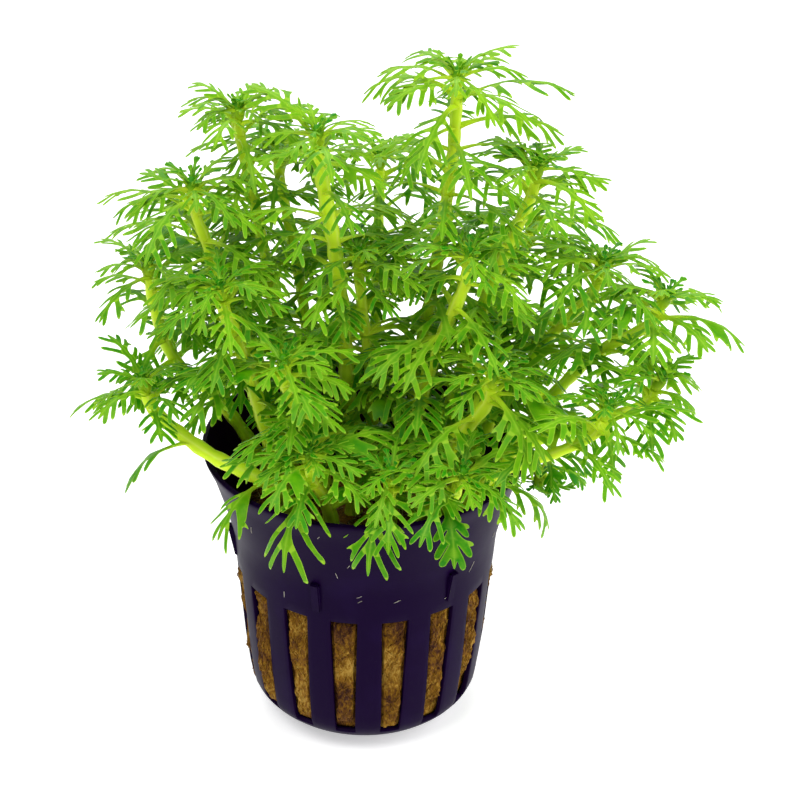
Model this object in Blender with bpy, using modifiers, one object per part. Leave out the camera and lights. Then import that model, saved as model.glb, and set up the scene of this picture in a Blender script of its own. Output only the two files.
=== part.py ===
"""Potted water violet: a bushy bunch of feathery shoots in a small slotted plastic pot.

Run with: blender --background --python part.py
Lengths below are millimetres and angles are degrees, unless a name says otherwise.
The origin is the centre of the pot's underside, +Z is up and the fullest side faces -Y.
"""
import math
import random

import bmesh
import bpy
from mathutils import Matrix, Vector
from mathutils.bvhtree import BVHTree
from mathutils.geometry import intersect_ray_tri

MM = 0.001
UP = Vector((0.0, 0.0, 1.0))

# Pot
POT_HEIGHT = 51.0
RIM_RADIUS = 27.5
BASE_RADIUS = 13.5
CORNER_HEIGHT = 6.0
WALL = 0.9
POT_OUTLINE = (  # height above the table, outer radius
    (POT_HEIGHT, RIM_RADIUS),
    (47.5, 25.9),
    (41.0, 23.9),
    (35.5, 22.5),
    (14.0, 20.8),
    (CORNER_HEIGHT, 19.8),
    (4.2, 19.0),
    (2.4, 17.1),
    (0.0, BASE_RADIUS),
)
INNER_HEIGHTS = (CORNER_HEIGHT, 35.5, 43.0, POT_HEIGHT)
POT_FACETS = 32
SLOT_COUNT = 16
SLOT_FIRST = -99.0
SLOT_TOP = 29.0
SLOT_BOTTOM = 4.6
SLOT_TOP_WIDTH = 4.6
SLOT_BOTTOM_WIDTH = 3.3
RIB_COUNT = 6
RIB_FIRST = -110.7
RIB_TOP = 36.6
RIB_BOTTOM = 30.6
RIB_WIDTH = 1.6
RIB_PROUD = 0.8
RIB_FOOT_PROUD = 0.3
RIB_ROOT = 21.7

# Rockwool
GAP = 0.3
WOOL_TOP = 35.0
WOOL_DOME = 1.0
WOOL_FACETS = 16

# Shoots
STEM_SIDES = 5
NODE_HALF = 0.8
BUD_RADIUS = 1.5
BUD_HEIGHT = 3.4
CROWN_LEAN = 0.35
NECK = 3.0
BEND_ROUNDS = 3
LEAF_CLEARANCE = 0.12
FOOT_SHARE = 0.16
LEAF_FLOOR = 43.0
GOLDEN_ANGLE = 137.5
SEED = 7


class Shoot:
    """One shoot: where its stem starts on the wool, the points it passes, and its crown."""

    def __init__(self, number, foot, crown, thick, leaf, turn, whorls=(), via=(),
                 reach=(), sides=(), lean=CROWN_LEAN):
        self.number = number
        self.foot = Vector((foot[0], foot[1], WOOL_TOP + WOOL_DOME + GAP))
        self.crown = Vector(crown)
        self.thick = thick
        self.leaf = leaf
        self.turn = turn
        self.whorls = whorls
        self.via = [Vector(point) for point in via]
        self.reach = [Vector(point) for point in reach]
        self.sides = [(place, Vector(point), bend) for place, point, bend in sides]
        self.lean = lean


# number, foot (x, y), crown (x, y, z), stem thickness, longest leaf, turn of the rosette,
# places of the leafy whorls along the stem, and points that the stem passes; then the points
# that single leaves of the crown reach, and the place on the stem, the point and the bend of
# single side leaves
SHOOTS = (
    Shoot(1, (5, 4), (14, 12, 111), 2.8, 20, 10, (0.60, 0.76, 0.88), ((13.5, 11, 94),),
          reach=((32.7, 8, 110.0), (27.3, 2, 107.3), (2.7, 4, 109.0))),
    Shoot(2, (-9, 6), (-21, 12, 105), 2.4, 15, 40, (0.62, 0.80), ((-19, 10, 93),),
          reach=((-30.5, 12, 104.5), (-9.4, 14, 105.0))),
    Shoot(3, (-2, 1), (-8, 2, 105), 3.2, 16, 70, (0.66, 0.82), ((-4, 2, 78),),
          reach=((0.8, 0, 101.5), (-17.4, -2, 101.5))),
    Shoot(4, (-7, 10), (-15, 18, 96), 2.4, 16, 20, (0.74,)),
    Shoot(5, (-13, 1), (-28, 4, 95), 2.4, 18, 100, (0.66, 0.82), ((-26, 4, 86),),
          reach=((-40.8, 2, 89.5), (-37.5, 7, 95.5))),
    Shoot(6, (-12, -4), (-23, -8, 83), 2.8, 17, 60, (0.70,), ((-20.5, -6, 74),),
          reach=((-12.3, -12, 81.0), (-31.0, -16, 76.8))),
    Shoot(7, (-5, -7), (-13, -14, 73), 2.8, 17, 80, (0.68,),
          reach=((-26.4, -17, 68.0), (-2.8, -18, 69.0))),
    Shoot(8, (-11, -9), (-36, -6, 65), 3.0, 14, 18, (),
          ((-12, -13, 47), (-16, -16, 53), (-23, -15, 55.5), (-29, -11, 57.5)),
          reach=((-47.6, -8, 59.5), (-43.5, 0, 70.0)),
          sides=((0.42, (-26.0, -22, 48.0), 80), (0.74, (-38.9, -13, 49.5), 70))),
    Shoot(9, (-4, -14), (-9, -22, 61), 2.4, 15, 30, (),
          sides=((0.80, (-12.6, -32.5, 46.0), 130),)),
    Shoot(10, (9, 0), (27, 8, 97), 2.8, 17, 50, (0.64, 0.80), ((19, 2, 78),),
          reach=((38.7, 6, 95.5), (36.2, -2, 92.0))),
    Shoot(11, (13, 1), (38, 4, 82), 2.4, 18, 15, (0.74,), reach=((46.3, 8, 85.0),)),
    Shoot(12, (4, -3), (16, -4, 87), 2.8, 18, 90, (0.52, 0.74),
          reach=((27.7, -7, 83.5), (4.9, -8, 83.5))),
    Shoot(13, (14, -3), (48, 0, 78), 2.6, 18, 5, (0.72,), ((35, -2, 68.5),),
          reach=((61.6, -2, 70.5), (54.7, -8, 72.5))),
    Shoot(14, (8, -9), (20, -14, 71), 3.0, 18, 45, (0.66,),
          reach=((35.5, -22, 63.0), (27.0, -28, 62.5))),
    Shoot(15, (14, -8), (47, -9, 68), 2.4, 15, 25, (0.62,), ((22, -9, 54), (31, -9.5, 58.5)),
          reach=((53.0, -5, 70.5), (53.0, -11, 63.0), (49.5, -16, 60.5))),
    Shoot(16, (11, -13), (38, -17, 67), 2.4, 15, 75, (), ((19, -15.5, 54), (28, -17, 58)),
          reach=((39.0, -22, 56.6),), sides=((0.42, (28.1, -20, 43.5), 110),)),
    Shoot(17, (14, 4), (30, 6, 40), 1.8, 9, 0, (),
          ((20, 5.5, 55), (25, 6, 59), (31, 6.5, 57), (32, 6.5, 46)), lean=1.0),
    Shoot(18, (1, 6), (-1.5, 2, 84), 2.4, 17, 30, (0.74,), ((1, 3, 60),)),
    Shoot(19, (-14, 6), (-36, 8, 79), 2.6, 16, 110, (0.66,), ((-24, 7, 54.5), (-33, 8, 61)),
          reach=((-45.2, 8, 76.0), (-44.5, 0, 74.5))),
    Shoot(20, (1, -14), (4, -23, 58), 2.2, 14, 55, (),
          sides=((0.80, (0.5, -32.5, 45.5), 130),)),
    Shoot(21, (5.5, -14.5), (15, -23, 58), 2.2, 15, 35, (), ((9, -18, 49),),
          sides=((0.76, (14.0, -31.0, 46.0), 130),)),
    Shoot(22, (-12, 12), (-29, 25, 79), 2.4, 18, 85, (0.66,)),
    Shoot(23, (1, 14), (2, 28, 90), 2.4, 18, 15, (0.72,)),
    Shoot(24, (11, 10), (28, 25, 80), 2.4, 18, 95, (0.66,)),
)

# Leaf stations along the midrib as shares of its length, with the half width and the depth
# there; a pair of lobes grows between two stations that are marked True
OUTER_LEAF = (
    (0.36, 0.50, 0.55, False),
    (0.54, 0.85, 0.55, True),
    (0.76, 0.70, 0.45, True),
)
INNER_LEAF = (
    (0.55, 0.70, 0.50, True),
)
LOBE_ANGLE = 48.0
LOBE_SAG = 0.16
REACH_BEND = 50.0
TRIES = (
    (0.0, 0.0, 1.0), (9.0, 0.0, 1.0), (-9.0, 0.0, 1.0), (0.0, 12.0, 1.0), (0.0, -12.0, 1.0),
    (16.0, 6.0, 1.0), (-16.0, 6.0, 1.0), (14.0, -10.0, 1.0), (-14.0, -10.0, 1.0),
    (0.0, 22.0, 0.95), (10.0, 20.0, 0.9), (-10.0, 20.0, 0.9), (0.0, -20.0, 0.85),
    (20.0, 10.0, 0.8), (-20.0, 10.0, 0.8), (0.0, 30.0, 0.75), (0.0, 5.0, 0.7),
    (12.0, 30.0, 0.65), (-12.0, 30.0, 0.65), (0.0, 40.0, 0.7), (24.0, 18.0, 0.7),
    (-24.0, 18.0, 0.7), (0.0, -14.0, 0.6),
)


def clear_scene():
    """Remove every object that the file opens with."""
    for obj in list(bpy.data.objects):
        bpy.data.objects.remove(obj, do_unlink=True)


def make_collection(name):
    """Make a collection and link it to the scene."""
    collection = bpy.data.collections.new(name)
    bpy.context.scene.collection.children.link(collection)
    return collection


def make_material(name, colour, roughness, metallic=0.0):
    """Make a plain Principled material from a linear colour."""
    material = bpy.data.materials.new(name)
    material.use_nodes = True
    shader = material.node_tree.nodes["Principled BSDF"]
    shader.inputs["Base Color"].default_value = (*colour, 1.0)
    shader.inputs["Roughness"].default_value = roughness
    shader.inputs["Metallic"].default_value = metallic
    return material


def add_object(name, mesh, collection, material, smooth=False):
    """Put a mesh in the collection as a named object."""
    obj = bpy.data.objects.new(name, mesh)
    obj.data.materials.append(material)
    collection.objects.link(obj)
    if smooth:
        mesh.shade_smooth()
        mesh.set_sharp_from_angle(angle=math.radians(40.0))
    return obj


def mesh_from(bm, name):
    """Turn a bmesh in millimetres into a mesh in metres."""
    bmesh.ops.scale(bm, vec=(MM, MM, MM), verts=bm.verts)
    bmesh.ops.recalc_face_normals(bm, faces=bm.faces)
    mesh = bpy.data.meshes.new(name)
    bm.to_mesh(mesh)
    bm.free()
    return mesh


def outer_radius(height):
    """Give the pot's outer radius at a height."""
    for (top, wide), (low, narrow) in zip(POT_OUTLINE, POT_OUTLINE[1:]):
        if height >= low:
            return narrow + (wide - narrow) * (height - low) / (top - low)
    return BASE_RADIUS


def lathe(name, profile, facets, collection, material):
    """Turn a profile of (radius, height) in millimetres about the Z axis."""
    bm = bmesh.new()
    verts = [bm.verts.new((radius * MM, 0.0, height * MM)) for radius, height in profile]
    for first, second in zip(verts, verts[1:]):
        bm.edges.new((first, second))
    mesh = bpy.data.meshes.new(name)
    bm.to_mesh(mesh)
    bm.free()
    obj = add_object(name, mesh, collection, material)
    screw = obj.modifiers.new("turn", "SCREW")
    screw.steps = facets
    screw.render_steps = facets
    screw.use_merge_vertices = True
    screw.merge_threshold = 0.00001
    screw.use_normal_calculate = True
    return obj


def cut(obj, cutter, operation="DIFFERENCE"):
    """Cut the object with a cutter, or join a shape to it."""
    boolean = obj.modifiers.new(operation.lower(), "BOOLEAN")
    boolean.operation = operation
    boolean.solver = "EXACT"
    boolean.object = cutter


def slab(bm, azimuth, near, far, low, high, low_width, high_width):
    """Add an upright tapered slab that points outward at an azimuth."""
    made = bmesh.ops.create_cube(bm, size=1.0)["verts"]
    for vert in made:
        width = low_width if vert.co.z < 0 else high_width
        reach = near if vert.co.x < 0 else far
        vert.co = Vector((reach, vert.co.y * width, low if vert.co.z < 0 else high))
    bmesh.ops.rotate(bm, verts=made, matrix=Matrix.Rotation(math.radians(azimuth), 3, "Z"))
    return made


def hide_cutter(name, bm, collection, material):
    """Make a hidden wire object from a bmesh, for the Boolean modifiers."""
    obj = add_object(name, mesh_from(bm, name), collection, material)
    obj.hide_render = True
    obj.display_type = "WIRE"
    return obj


def make_pot(collection, cutters, material):
    """Make the slotted pot with its rounded foot, flared rim and stacking ribs."""
    inside = [(0.0, WALL), (BASE_RADIUS, WALL)]
    inside += [(outer_radius(height) - WALL, height) for height in INNER_HEIGHTS]
    outside = [(radius, height) for height, radius in POT_OUTLINE]
    pot = lathe("pot", inside + outside + [(0.0, 0.0)], POT_FACETS, collection, material)

    ribs = bmesh.new()
    for index in range(RIB_COUNT):
        azimuth = RIB_FIRST + index * 360.0 / RIB_COUNT
        made = slab(ribs, azimuth, RIB_ROOT, RIM_RADIUS, RIB_BOTTOM, RIB_TOP, RIB_WIDTH, RIB_WIDTH)
        for vert in made:
            out = math.hypot(vert.co.x, vert.co.y)
            if out > 0.5 * (RIB_ROOT + RIM_RADIUS):
                proud = RIB_FOOT_PROUD if vert.co.z < RIB_TOP else RIB_PROUD
                scale = (outer_radius(vert.co.z) + proud) / out
                vert.co.x *= scale
                vert.co.y *= scale
    cut(pot, hide_cutter("rib_shapes", ribs, cutters, material), "UNION")

    slots = bmesh.new()
    for index in range(SLOT_COUNT):
        azimuth = SLOT_FIRST + index * 360.0 / SLOT_COUNT
        slab(slots, azimuth, BASE_RADIUS, RIM_RADIUS + 2.0,
             SLOT_BOTTOM, SLOT_TOP, SLOT_BOTTOM_WIDTH, SLOT_TOP_WIDTH)
    cut(pot, hide_cutter("slot_cutters", slots, cutters, material))
    return pot


def make_wool(collection, material):
    """Make the plug of mineral wool, a gap clear of the pot's inner wall and floor."""
    side = [(outer_radius(h) - WALL - 1.5 * GAP, h) for h in (WOOL_TOP, CORNER_HEIGHT + 0.6)]
    foot = [(BASE_RADIUS - 0.6, WALL + GAP), (0.0, WALL + GAP)]
    crest = [(0.0, WOOL_TOP + WOOL_DOME), (12.0, WOOL_TOP + WOOL_DOME * 0.8)]
    return lathe("rockwool", crest + side + foot, WOOL_FACETS, collection, material)


def rounded(points):
    """Round a path's bends by cutting its corners."""
    for _ in range(BEND_ROUNDS):
        cut_points = [points[0]]
        for start, end in zip(points, points[1:]):
            cut_points += [start.lerp(end, 0.25), start.lerp(end, 0.75)]
        points = cut_points + [points[-1]]
    return points


def stem_path(shoot):
    """Give the rounded path of a stem: up out of the wool, along its way, to its crown."""
    points = [shoot.foot]
    if shoot.via:
        points += shoot.via
    else:
        rise = (shoot.crown.z - shoot.foot.z) * 0.12
        points.append(shoot.foot.lerp(shoot.crown, 0.5) + UP * rise)
    under = shoot.crown - crown_axis(shoot) * (BUD_HEIGHT * 0.5 + GAP)
    return rounded(points + [under - crown_axis(shoot) * NECK, under])


def stem_length(shoot):
    """Give the length of a stem's path."""
    path = stem_path(shoot)
    return sum((end - start).length for start, end in zip(path, path[1:]))


def stem_place(shoot, share):
    """Give a stem's point and direction at a share of its length."""
    path = stem_path(shoot)
    left = stem_length(shoot) * share
    for start, end in zip(path, path[1:]):
        span = (end - start).length
        if left <= span:
            return start.lerp(end, left / span), (end - start).normalized()
        left -= span
    return path[-1], (path[-1] - path[-2]).normalized()


def crown_axis(shoot):
    """Give the way a crown faces: up, leaned a little along the stem that carries it."""
    last = shoot.via[-1] if shoot.via else shoot.foot
    return UP.lerp((shoot.crown - last).normalized(), shoot.lean).normalized()


def crown_turn(shoot):
    """Give the rotation that leans a crown."""
    return UP.rotation_difference(crown_axis(shoot)).to_matrix()


def leaf_curve(base, azimuth, rise, droop, length, share, lean=None):
    """Give the point, direction, side and upward normal at a share of an arching midrib."""
    start = math.radians(rise)
    bend = math.radians(droop - rise)
    angle = start + bend * share
    out = length * (math.sin(angle) - math.sin(start)) / bend
    up = length * (math.cos(start) - math.cos(angle)) / bend
    heading = Vector((math.cos(math.radians(azimuth)), math.sin(math.radians(azimuth)), 0.0))
    side = UP.cross(heading)
    offset = heading * out + UP * up
    way = heading * math.cos(angle) + UP * math.sin(angle)
    if lean is not None:
        offset, way, side = lean @ offset, lean @ way, lean @ side
    return base + offset, way, side, way.cross(side)


class Leaf:
    """A leaf's place and size, with its sections and lobe tips as plain points."""

    def __init__(self, base, azimuth, rise, droop, length, stations, lean=None):
        self.base = base
        self.azimuth = azimuth
        self.rise = rise
        self.droop = droop
        self.length = length
        self.stations = stations
        self.lean = lean

    def at(self, share):
        """Give the midrib's frame at a share of the leaf."""
        return leaf_curve(self.base, self.azimuth, self.rise, self.droop, self.length,
                          share, self.lean)

    def changed(self, turn, lift, scale):
        """Give a copy that is turned, lifted or shortened."""
        return Leaf(self.base, self.azimuth + turn, self.rise + lift, self.droop + lift,
                    self.length * scale, self.stations, self.lean)

    def section(self, share, half_width, depth, swell=0.0):
        """Give the left edge, the right edge and the keel of the blade at a share."""
        point, _, side, normal = self.at(share)
        wide = half_width + swell
        top = point + normal * swell
        return [top + side * wide, top - side * wide, point - normal * (depth + swell)]

    def sections(self, swell=0.0):
        """Give every section along the leaf."""
        return [self.section(share, wide, depth, swell) for share, wide, depth, _ in self.stations]

    def tip(self):
        """Give the leaf's end point."""
        return self.at(1.0)[0]

    def lobe_tip(self, index, hand):
        """Give the end of the lobe that grows before a station, on the left (1) or right (-1)."""
        before = self.stations[index - 1][0] if index else FOOT_SHARE
        share = 0.5 * (before + self.stations[index][0])
        point, way, side, normal = self.at(share)
        reach = self.length * 0.42 * (1.12 - share)
        angle = math.radians(LOBE_ANGLE)
        return point + reach * (way * math.cos(angle) + side * (hand * math.sin(angle))
                                - normal * LOBE_SAG)

    def lobes(self):
        """List the (station index, hand) of each lobe."""
        marked = [i for i, station in enumerate(self.stations) if station[3]]
        return [(index, hand) for index in marked for hand in (1, -1)]


def aimed(base, tip, bend, stations):
    """Give the leaf that arches by a bend from its base to a tip."""
    chord = tip - base
    level = math.hypot(chord.x, chord.y)
    slope = math.degrees(math.atan2(chord.z, level))
    half = math.radians(0.5 * bend)
    length = chord.length * half / math.sin(half)
    azimuth = math.degrees(math.atan2(chord.y, chord.x))
    return Leaf(base, azimuth, slope + 0.5 * bend, slope - 0.5 * bend, length, stations)


def trial_tree(leaf, start_share):
    """Give a search tree of the leaf's own surface, a little swollen, without its foot."""
    rings = [leaf.section(start_share, 0.5, 0.5, LEAF_CLEARANCE)] + leaf.sections(LEAF_CLEARANCE)
    points = [point for ring in rings for point in ring]
    faces = []
    skip = set()
    for index, hand in leaf.lobes():
        tip = len(points)
        points.append(leaf.lobe_tip(index, hand))
        near, far = 3 * index, 3 * (index + 1)
        edge = 0 if hand == 1 else 1
        quad = (near + edge, near + 2, far + 2, far + edge)
        skip.add((index, edge))
        faces += [(quad[k], quad[(k + 1) % 4], tip) for k in range(4)]
    for ring in range(len(rings) - 1):
        near, far = 3 * ring, 3 * (ring + 1)
        for a, b, kind in ((0, 1, None), (1, 2, 1), (2, 0, 0)):
            if kind is not None and (ring, kind) in skip:
                continue
            faces += [(near + a, near + b, far + b), (near + a, far + b, far + a)]
    end = 3 * (len(rings) - 1)
    tip = len(points)
    points.append(leaf.tip())
    faces += [(end, end + 1, tip), (end + 1, end + 2, tip), (end + 2, end, tip)]
    return BVHTree.FromPolygons(points, faces), points


def box_of(points):
    """Give the lowest and highest corner round some points."""
    low = Vector([min(p[axis] for p in points) for axis in range(3)])
    high = Vector([max(p[axis] for p in points) for axis in range(3)])
    return low, high


class Thicket:
    """The space that is already taken, so that new leaves grow clear of it."""

    def __init__(self):
        self.taken = []

    def add(self, owner, whole, outer, points):
        """Take the space of a surface, whole for other shoots and without its foot for its own."""
        self.taken.append((owner, whole, outer, *box_of(points)))

    def is_clear(self, owner, whole, outer, points):
        """Tell whether a surface misses everything taken so far."""
        low, high = box_of(points)
        for other, other_whole, other_outer, other_low, other_high in self.taken:
            if any(low[k] > other_high[k] or high[k] < other_low[k] for k in range(3)):
                continue
            if other == owner and other_outer is not None and outer.overlap(other_outer):
                return False
            if other != owner and whole.overlap(other_whole):
                return False
        return True

    def place(self, owner, leaf, body_with):
        """Give the first change of the leaf that grows clear, or None.

        body_with gives the leaf's own body with the leaf on it.
        """
        for turn, lift, scale in TRIES:
            candidate = leaf.changed(turn, lift, scale)
            outer, points = trial_tree(candidate, FOOT_SHARE)
            if any(point.z < LEAF_FLOOR and point.xy.length < RIM_RADIUS for point in points):
                continue
            whole, _ = trial_tree(candidate, 0.0)
            if (self.is_clear(owner, whole, outer, points)
                    and not crosses_itself(body_with(candidate))):
                self.add(owner, whole, outer, points)
                return candidate
        return None


def take_mesh(thicket, obj):
    """Take the space of a finished object."""
    depsgraph = bpy.context.evaluated_depsgraph_get()
    mesh = obj.evaluated_get(depsgraph).to_mesh()
    points = [obj.matrix_world @ vert.co / MM for vert in mesh.vertices]
    faces = [tuple(poly.vertices) for poly in mesh.polygons]
    tree = BVHTree.FromPolygons(points, faces)
    thicket.add(None, tree, tree, points)


def take_bud(thicket, shoot):
    """Take the space of a bud, against the other shoots' leaves."""
    bm = bud(shoot)
    thicket.add(shoot.number, BVHTree.FromBMesh(bm), None, [vert.co.copy() for vert in bm.verts])
    bm.free()


def take_stem(thicket, shoot):
    """Take the space of a stem."""
    tree, points = trial_stem(shoot)
    thicket.add(shoot.number, tree, tree, points)


def crosses_itself(bm):
    """Tell whether a body's triangles cut through each other, and free it."""
    bm.verts.index_update()
    tree = BVHTree.FromBMesh(bm)
    corners = [[vert.co.copy() for vert in face.verts] for face in bm.faces]
    names = [[vert.index for vert in face.verts] for face in bm.faces]
    bm.free()
    for first, second in tree.overlap(tree):
        shared = set(names[first]) & set(names[second])
        if not shared:
            return True
        if len(shared) == 1:
            ends = [co for name, co in zip(names[first], corners[first]) if name not in shared]
            way = ends[1] - ends[0]
            hit = intersect_ray_tri(*corners[second], way, ends[0])
            if hit is not None and (hit - ends[0]).length < way.length:
                return True
    return False


def settle_on_stem(thicket, shoot, placed, leaves):
    """Add the (place on the stem, leaf) pairs that find a clear place to those placed."""
    for place, leaf in leaves:
        found = thicket.place(shoot.number, leaf,
                              lambda trial: stem_body(shoot, placed + [(place, trial)]))
        if found is not None:
            placed.append((place, found))


def settle_on_crown(thicket, shoot):
    """Give the crown's leaves in order, with None for one that finds no clear place."""
    placed = []
    for leaf in crown_leaves(shoot):
        placed.append(thicket.place(shoot.number, leaf,
                                    lambda trial: crown_body(shoot, placed + [trial])))
    return placed


def ring_verts(bm, point, way, radius, turn=0.0):
    """Add a ring of points square to a direction."""
    side = way.cross(Vector((0.0, 1.0, 0.0))).normalized()
    other = way.cross(side)
    verts = []
    for index in range(STEM_SIDES):
        angle = math.radians(turn) + math.tau * index / STEM_SIDES
        verts.append(bm.verts.new(point + radius * (side * math.cos(angle)
                                                    + other * math.sin(angle))))
    return verts


def stem_shares(shoot):
    """List the shares of the rings along a stem, a close pair at each whorl."""
    half = NODE_HALF / stem_length(shoot)
    shares = {0.0, 1.0} | ({0.2, 0.4, 0.6, 0.8} if len(shoot.via) > 1 else {0.3, 0.62})
    for place in sorted(shoot.whorls + tuple(place for place, _, _ in shoot.sides)):
        shares = {share for share in shares if abs(share - place) > 0.1 or share == 1.0}
        shares |= {place - half, place + half}
    return sorted(shares)


def stem_radius(shoot, share):
    """Give a stem's radius at a share of its way."""
    return 0.5 * shoot.thick * (1.0 - 0.25 * share)


def trial_stem(shoot, swell=LEAF_CLEARANCE):
    """Give a search tree of a stem's tube."""
    points, faces = [], []
    shares = stem_shares(shoot)
    probe = bmesh.new()
    for share in shares:
        point, way = stem_place(shoot, share)
        ring = ring_verts(probe, point, way, stem_radius(shoot, share) + swell)
        points += [vert.co.copy() for vert in ring]
    probe.free()
    for index in range(len(shares) - 1):
        near, far = index * STEM_SIDES, (index + 1) * STEM_SIDES
        for k in range(STEM_SIDES):
            step = (k + 1) % STEM_SIDES
            faces.append((near + k, near + step, far + step, far + k))
    return BVHTree.FromPolygons(points, faces), points


def grow_leaf(bm, face, leaf):
    """Grow a leaf out of a three-cornered face by extruding it from section to section."""
    lobed = {}
    for number, ring in enumerate(leaf.sections()):
        made = bmesh.ops.extrude_discrete_faces(bm, faces=[face])["faces"][0]
        face = made
        corners = list(face.verts)
        centre = sum(ring, Vector()) / 3.0
        turned = (ring[1] - ring[0]).cross(ring[2] - ring[0]).dot(leaf.at(leaf.stations[number][0])[1])
        targets = ring if turned > 0 else [ring[0], ring[2], ring[1]]
        middle = sum((vert.co for vert in corners), Vector()) / 3.0
        best = min(range(3), key=lambda shift: sum(
            ((corners[k].co - middle) - (targets[(k + shift) % 3] - centre)).length
            for k in range(3)))
        for k, vert in enumerate(corners):
            vert.co = targets[(k + best) % 3]
        if leaf.stations[number][3]:
            lobed[number] = side_faces(face, ring)
    end = bmesh.ops.extrude_discrete_faces(bm, faces=[face])["faces"][0]
    collapse(bm, end, leaf.tip())
    for number, (left, right) in lobed.items():
        for wall, hand in ((left, 1), (right, -1)):
            top = bmesh.ops.extrude_discrete_faces(bm, faces=[wall])["faces"][0]
            collapse(bm, top, leaf.lobe_tip(number, hand))


def side_faces(end_face, ring):
    """Find the walls behind a section that touch its keel and its left or right edge."""
    near = 1e-4
    found = []
    for edge_point in (ring[0], ring[1]):
        for edge in end_face.edges:
            ends = [vert.co for vert in edge.verts]
            at_edge = any((end - edge_point).length < near for end in ends)
            at_keel = any((end - ring[2]).length < near for end in ends)
            if at_edge and at_keel:
                found.append(next(f for f in edge.link_faces if f is not end_face))
    return found


def collapse(bm, face, point):
    """Draw a face together into one point."""
    bmesh.ops.pointmerge(bm, verts=list(face.verts), merge_co=point)


def crown_leaves(shoot):
    """List the leaves that a crown would grow: a drooping outer whorl and a rising inner one.

    An outer leaf that has a point to reach turns to it.
    """
    chance = random.Random(SEED * 1000 + shoot.number)
    lean = crown_turn(shoot)
    leaves = []
    for whorl in range(2):
        for index in range(5):
            azimuth = shoot.turn + 72.0 * index + 36.0 * whorl + chance.uniform(-8.0, 8.0)
            if whorl == 0:
                rise = chance.uniform(8.0, 24.0)
                droop = rise - chance.uniform(45.0, 70.0)
                length = shoot.leaf * chance.uniform(0.85, 1.05)
                stations = OUTER_LEAF
            else:
                rise = chance.uniform(28.0, 42.0)
                droop = rise - chance.uniform(45.0, 65.0)
                length = shoot.leaf * chance.uniform(0.52, 0.68)
                stations = INNER_LEAF
            leaves.append(Leaf(shoot.crown, azimuth, rise, droop, length, stations, lean))
    free = list(range(5))
    for tip in shoot.reach:
        leaf = aimed(shoot.crown, tip, REACH_BEND, OUTER_LEAF)
        nearest = min(free, key=lambda k: abs((leaves[k].azimuth - leaf.azimuth + 180.0) % 360.0 - 180.0))
        leaves[nearest] = leaf
        free.remove(nearest)
    return leaves


def bud(shoot):
    """Make the bud as a stretched icosphere that leans with its crown."""
    bm = bmesh.new()
    made = bmesh.ops.create_icosphere(bm, subdivisions=1, radius=1.0)["verts"]
    bmesh.ops.scale(bm, vec=(BUD_RADIUS, BUD_RADIUS, BUD_HEIGHT * 0.5), verts=made)
    lowest = min(made, key=lambda vert: (round(vert.co.z, 4), vert.co.x))
    side = max((f for f in bm.faces if lowest not in f.verts),
               key=lambda f: (round(-f.calc_center_median().z, 4), f.calc_center_median().x))
    middle = side.calc_center_median()
    offset = math.atan2(middle.y, middle.x)
    spin = Matrix.Rotation(math.radians(shoot.turn) - offset, 3, "Z")
    bmesh.ops.transform(bm, matrix=(crown_turn(shoot) @ spin).to_4x4(), verts=bm.verts)
    bmesh.ops.translate(bm, vec=shoot.crown, verts=bm.verts)
    return bm


def crown_faces(shoot, bm):
    """Give the bud's ten side faces: five that point down and out, and five up and out."""
    lean = crown_turn(shoot).transposed()

    def local(face):
        return lean @ (face.calc_center_median() - shoot.crown)

    ordered = sorted(bm.faces, key=lambda face: local(face).z)
    bands = ordered[5:10], ordered[10:15]
    result = []
    for whorl, band in enumerate(bands):
        for index in range(5):
            goal = math.radians(shoot.turn + 72.0 * index + 36.0 * whorl)
            direction = Vector((math.cos(goal), math.sin(goal), 0.0))
            result.append(max(band, key=lambda face: local(face).dot(direction)))
    return result


def crown_body(shoot, placed):
    """Grow a crown's leaves on its bud."""
    bm = bud(shoot)
    faces = crown_faces(shoot, bm)
    for face, leaf in zip(faces, placed):
        if leaf is not None:
            grow_leaf(bm, face, leaf)
    bmesh.ops.triangulate(bm, faces=bm.faces)
    return bm


def make_crown(shoot, placed, collection, material):
    """Make a crown: a bud with the leaves that found a clear place."""
    name = f"crown_{shoot.number:02d}"
    return add_object(name, mesh_from(crown_body(shoot, placed), name), collection, material)


def whorl_leaves(shoot):
    """List the leaves that a stem would grow: two at each whorl, on opposite sides."""
    chance = random.Random(SEED * 2000 + shoot.number)
    leaves = []
    for order, place in enumerate(shoot.whorls):
        point, _ = stem_place(shoot, place)
        for index in range(2):
            azimuth = shoot.turn + GOLDEN_ANGLE * order + 180.0 * index + chance.uniform(-15.0, 15.0)
            rise = chance.uniform(20.0, 38.0)
            droop = rise - chance.uniform(50.0, 75.0)
            length = shoot.leaf * chance.uniform(0.85, 1.05)
            leaves.append((place, Leaf(point, azimuth, rise, droop, length, OUTER_LEAF)))
    return leaves


def side_leaves(shoot):
    """List the single leaves that reach from a stem to a point."""
    return [(place, aimed(stem_place(shoot, place)[0], tip, bend, OUTER_LEAF))
            for place, tip, bend in shoot.sides]


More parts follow.
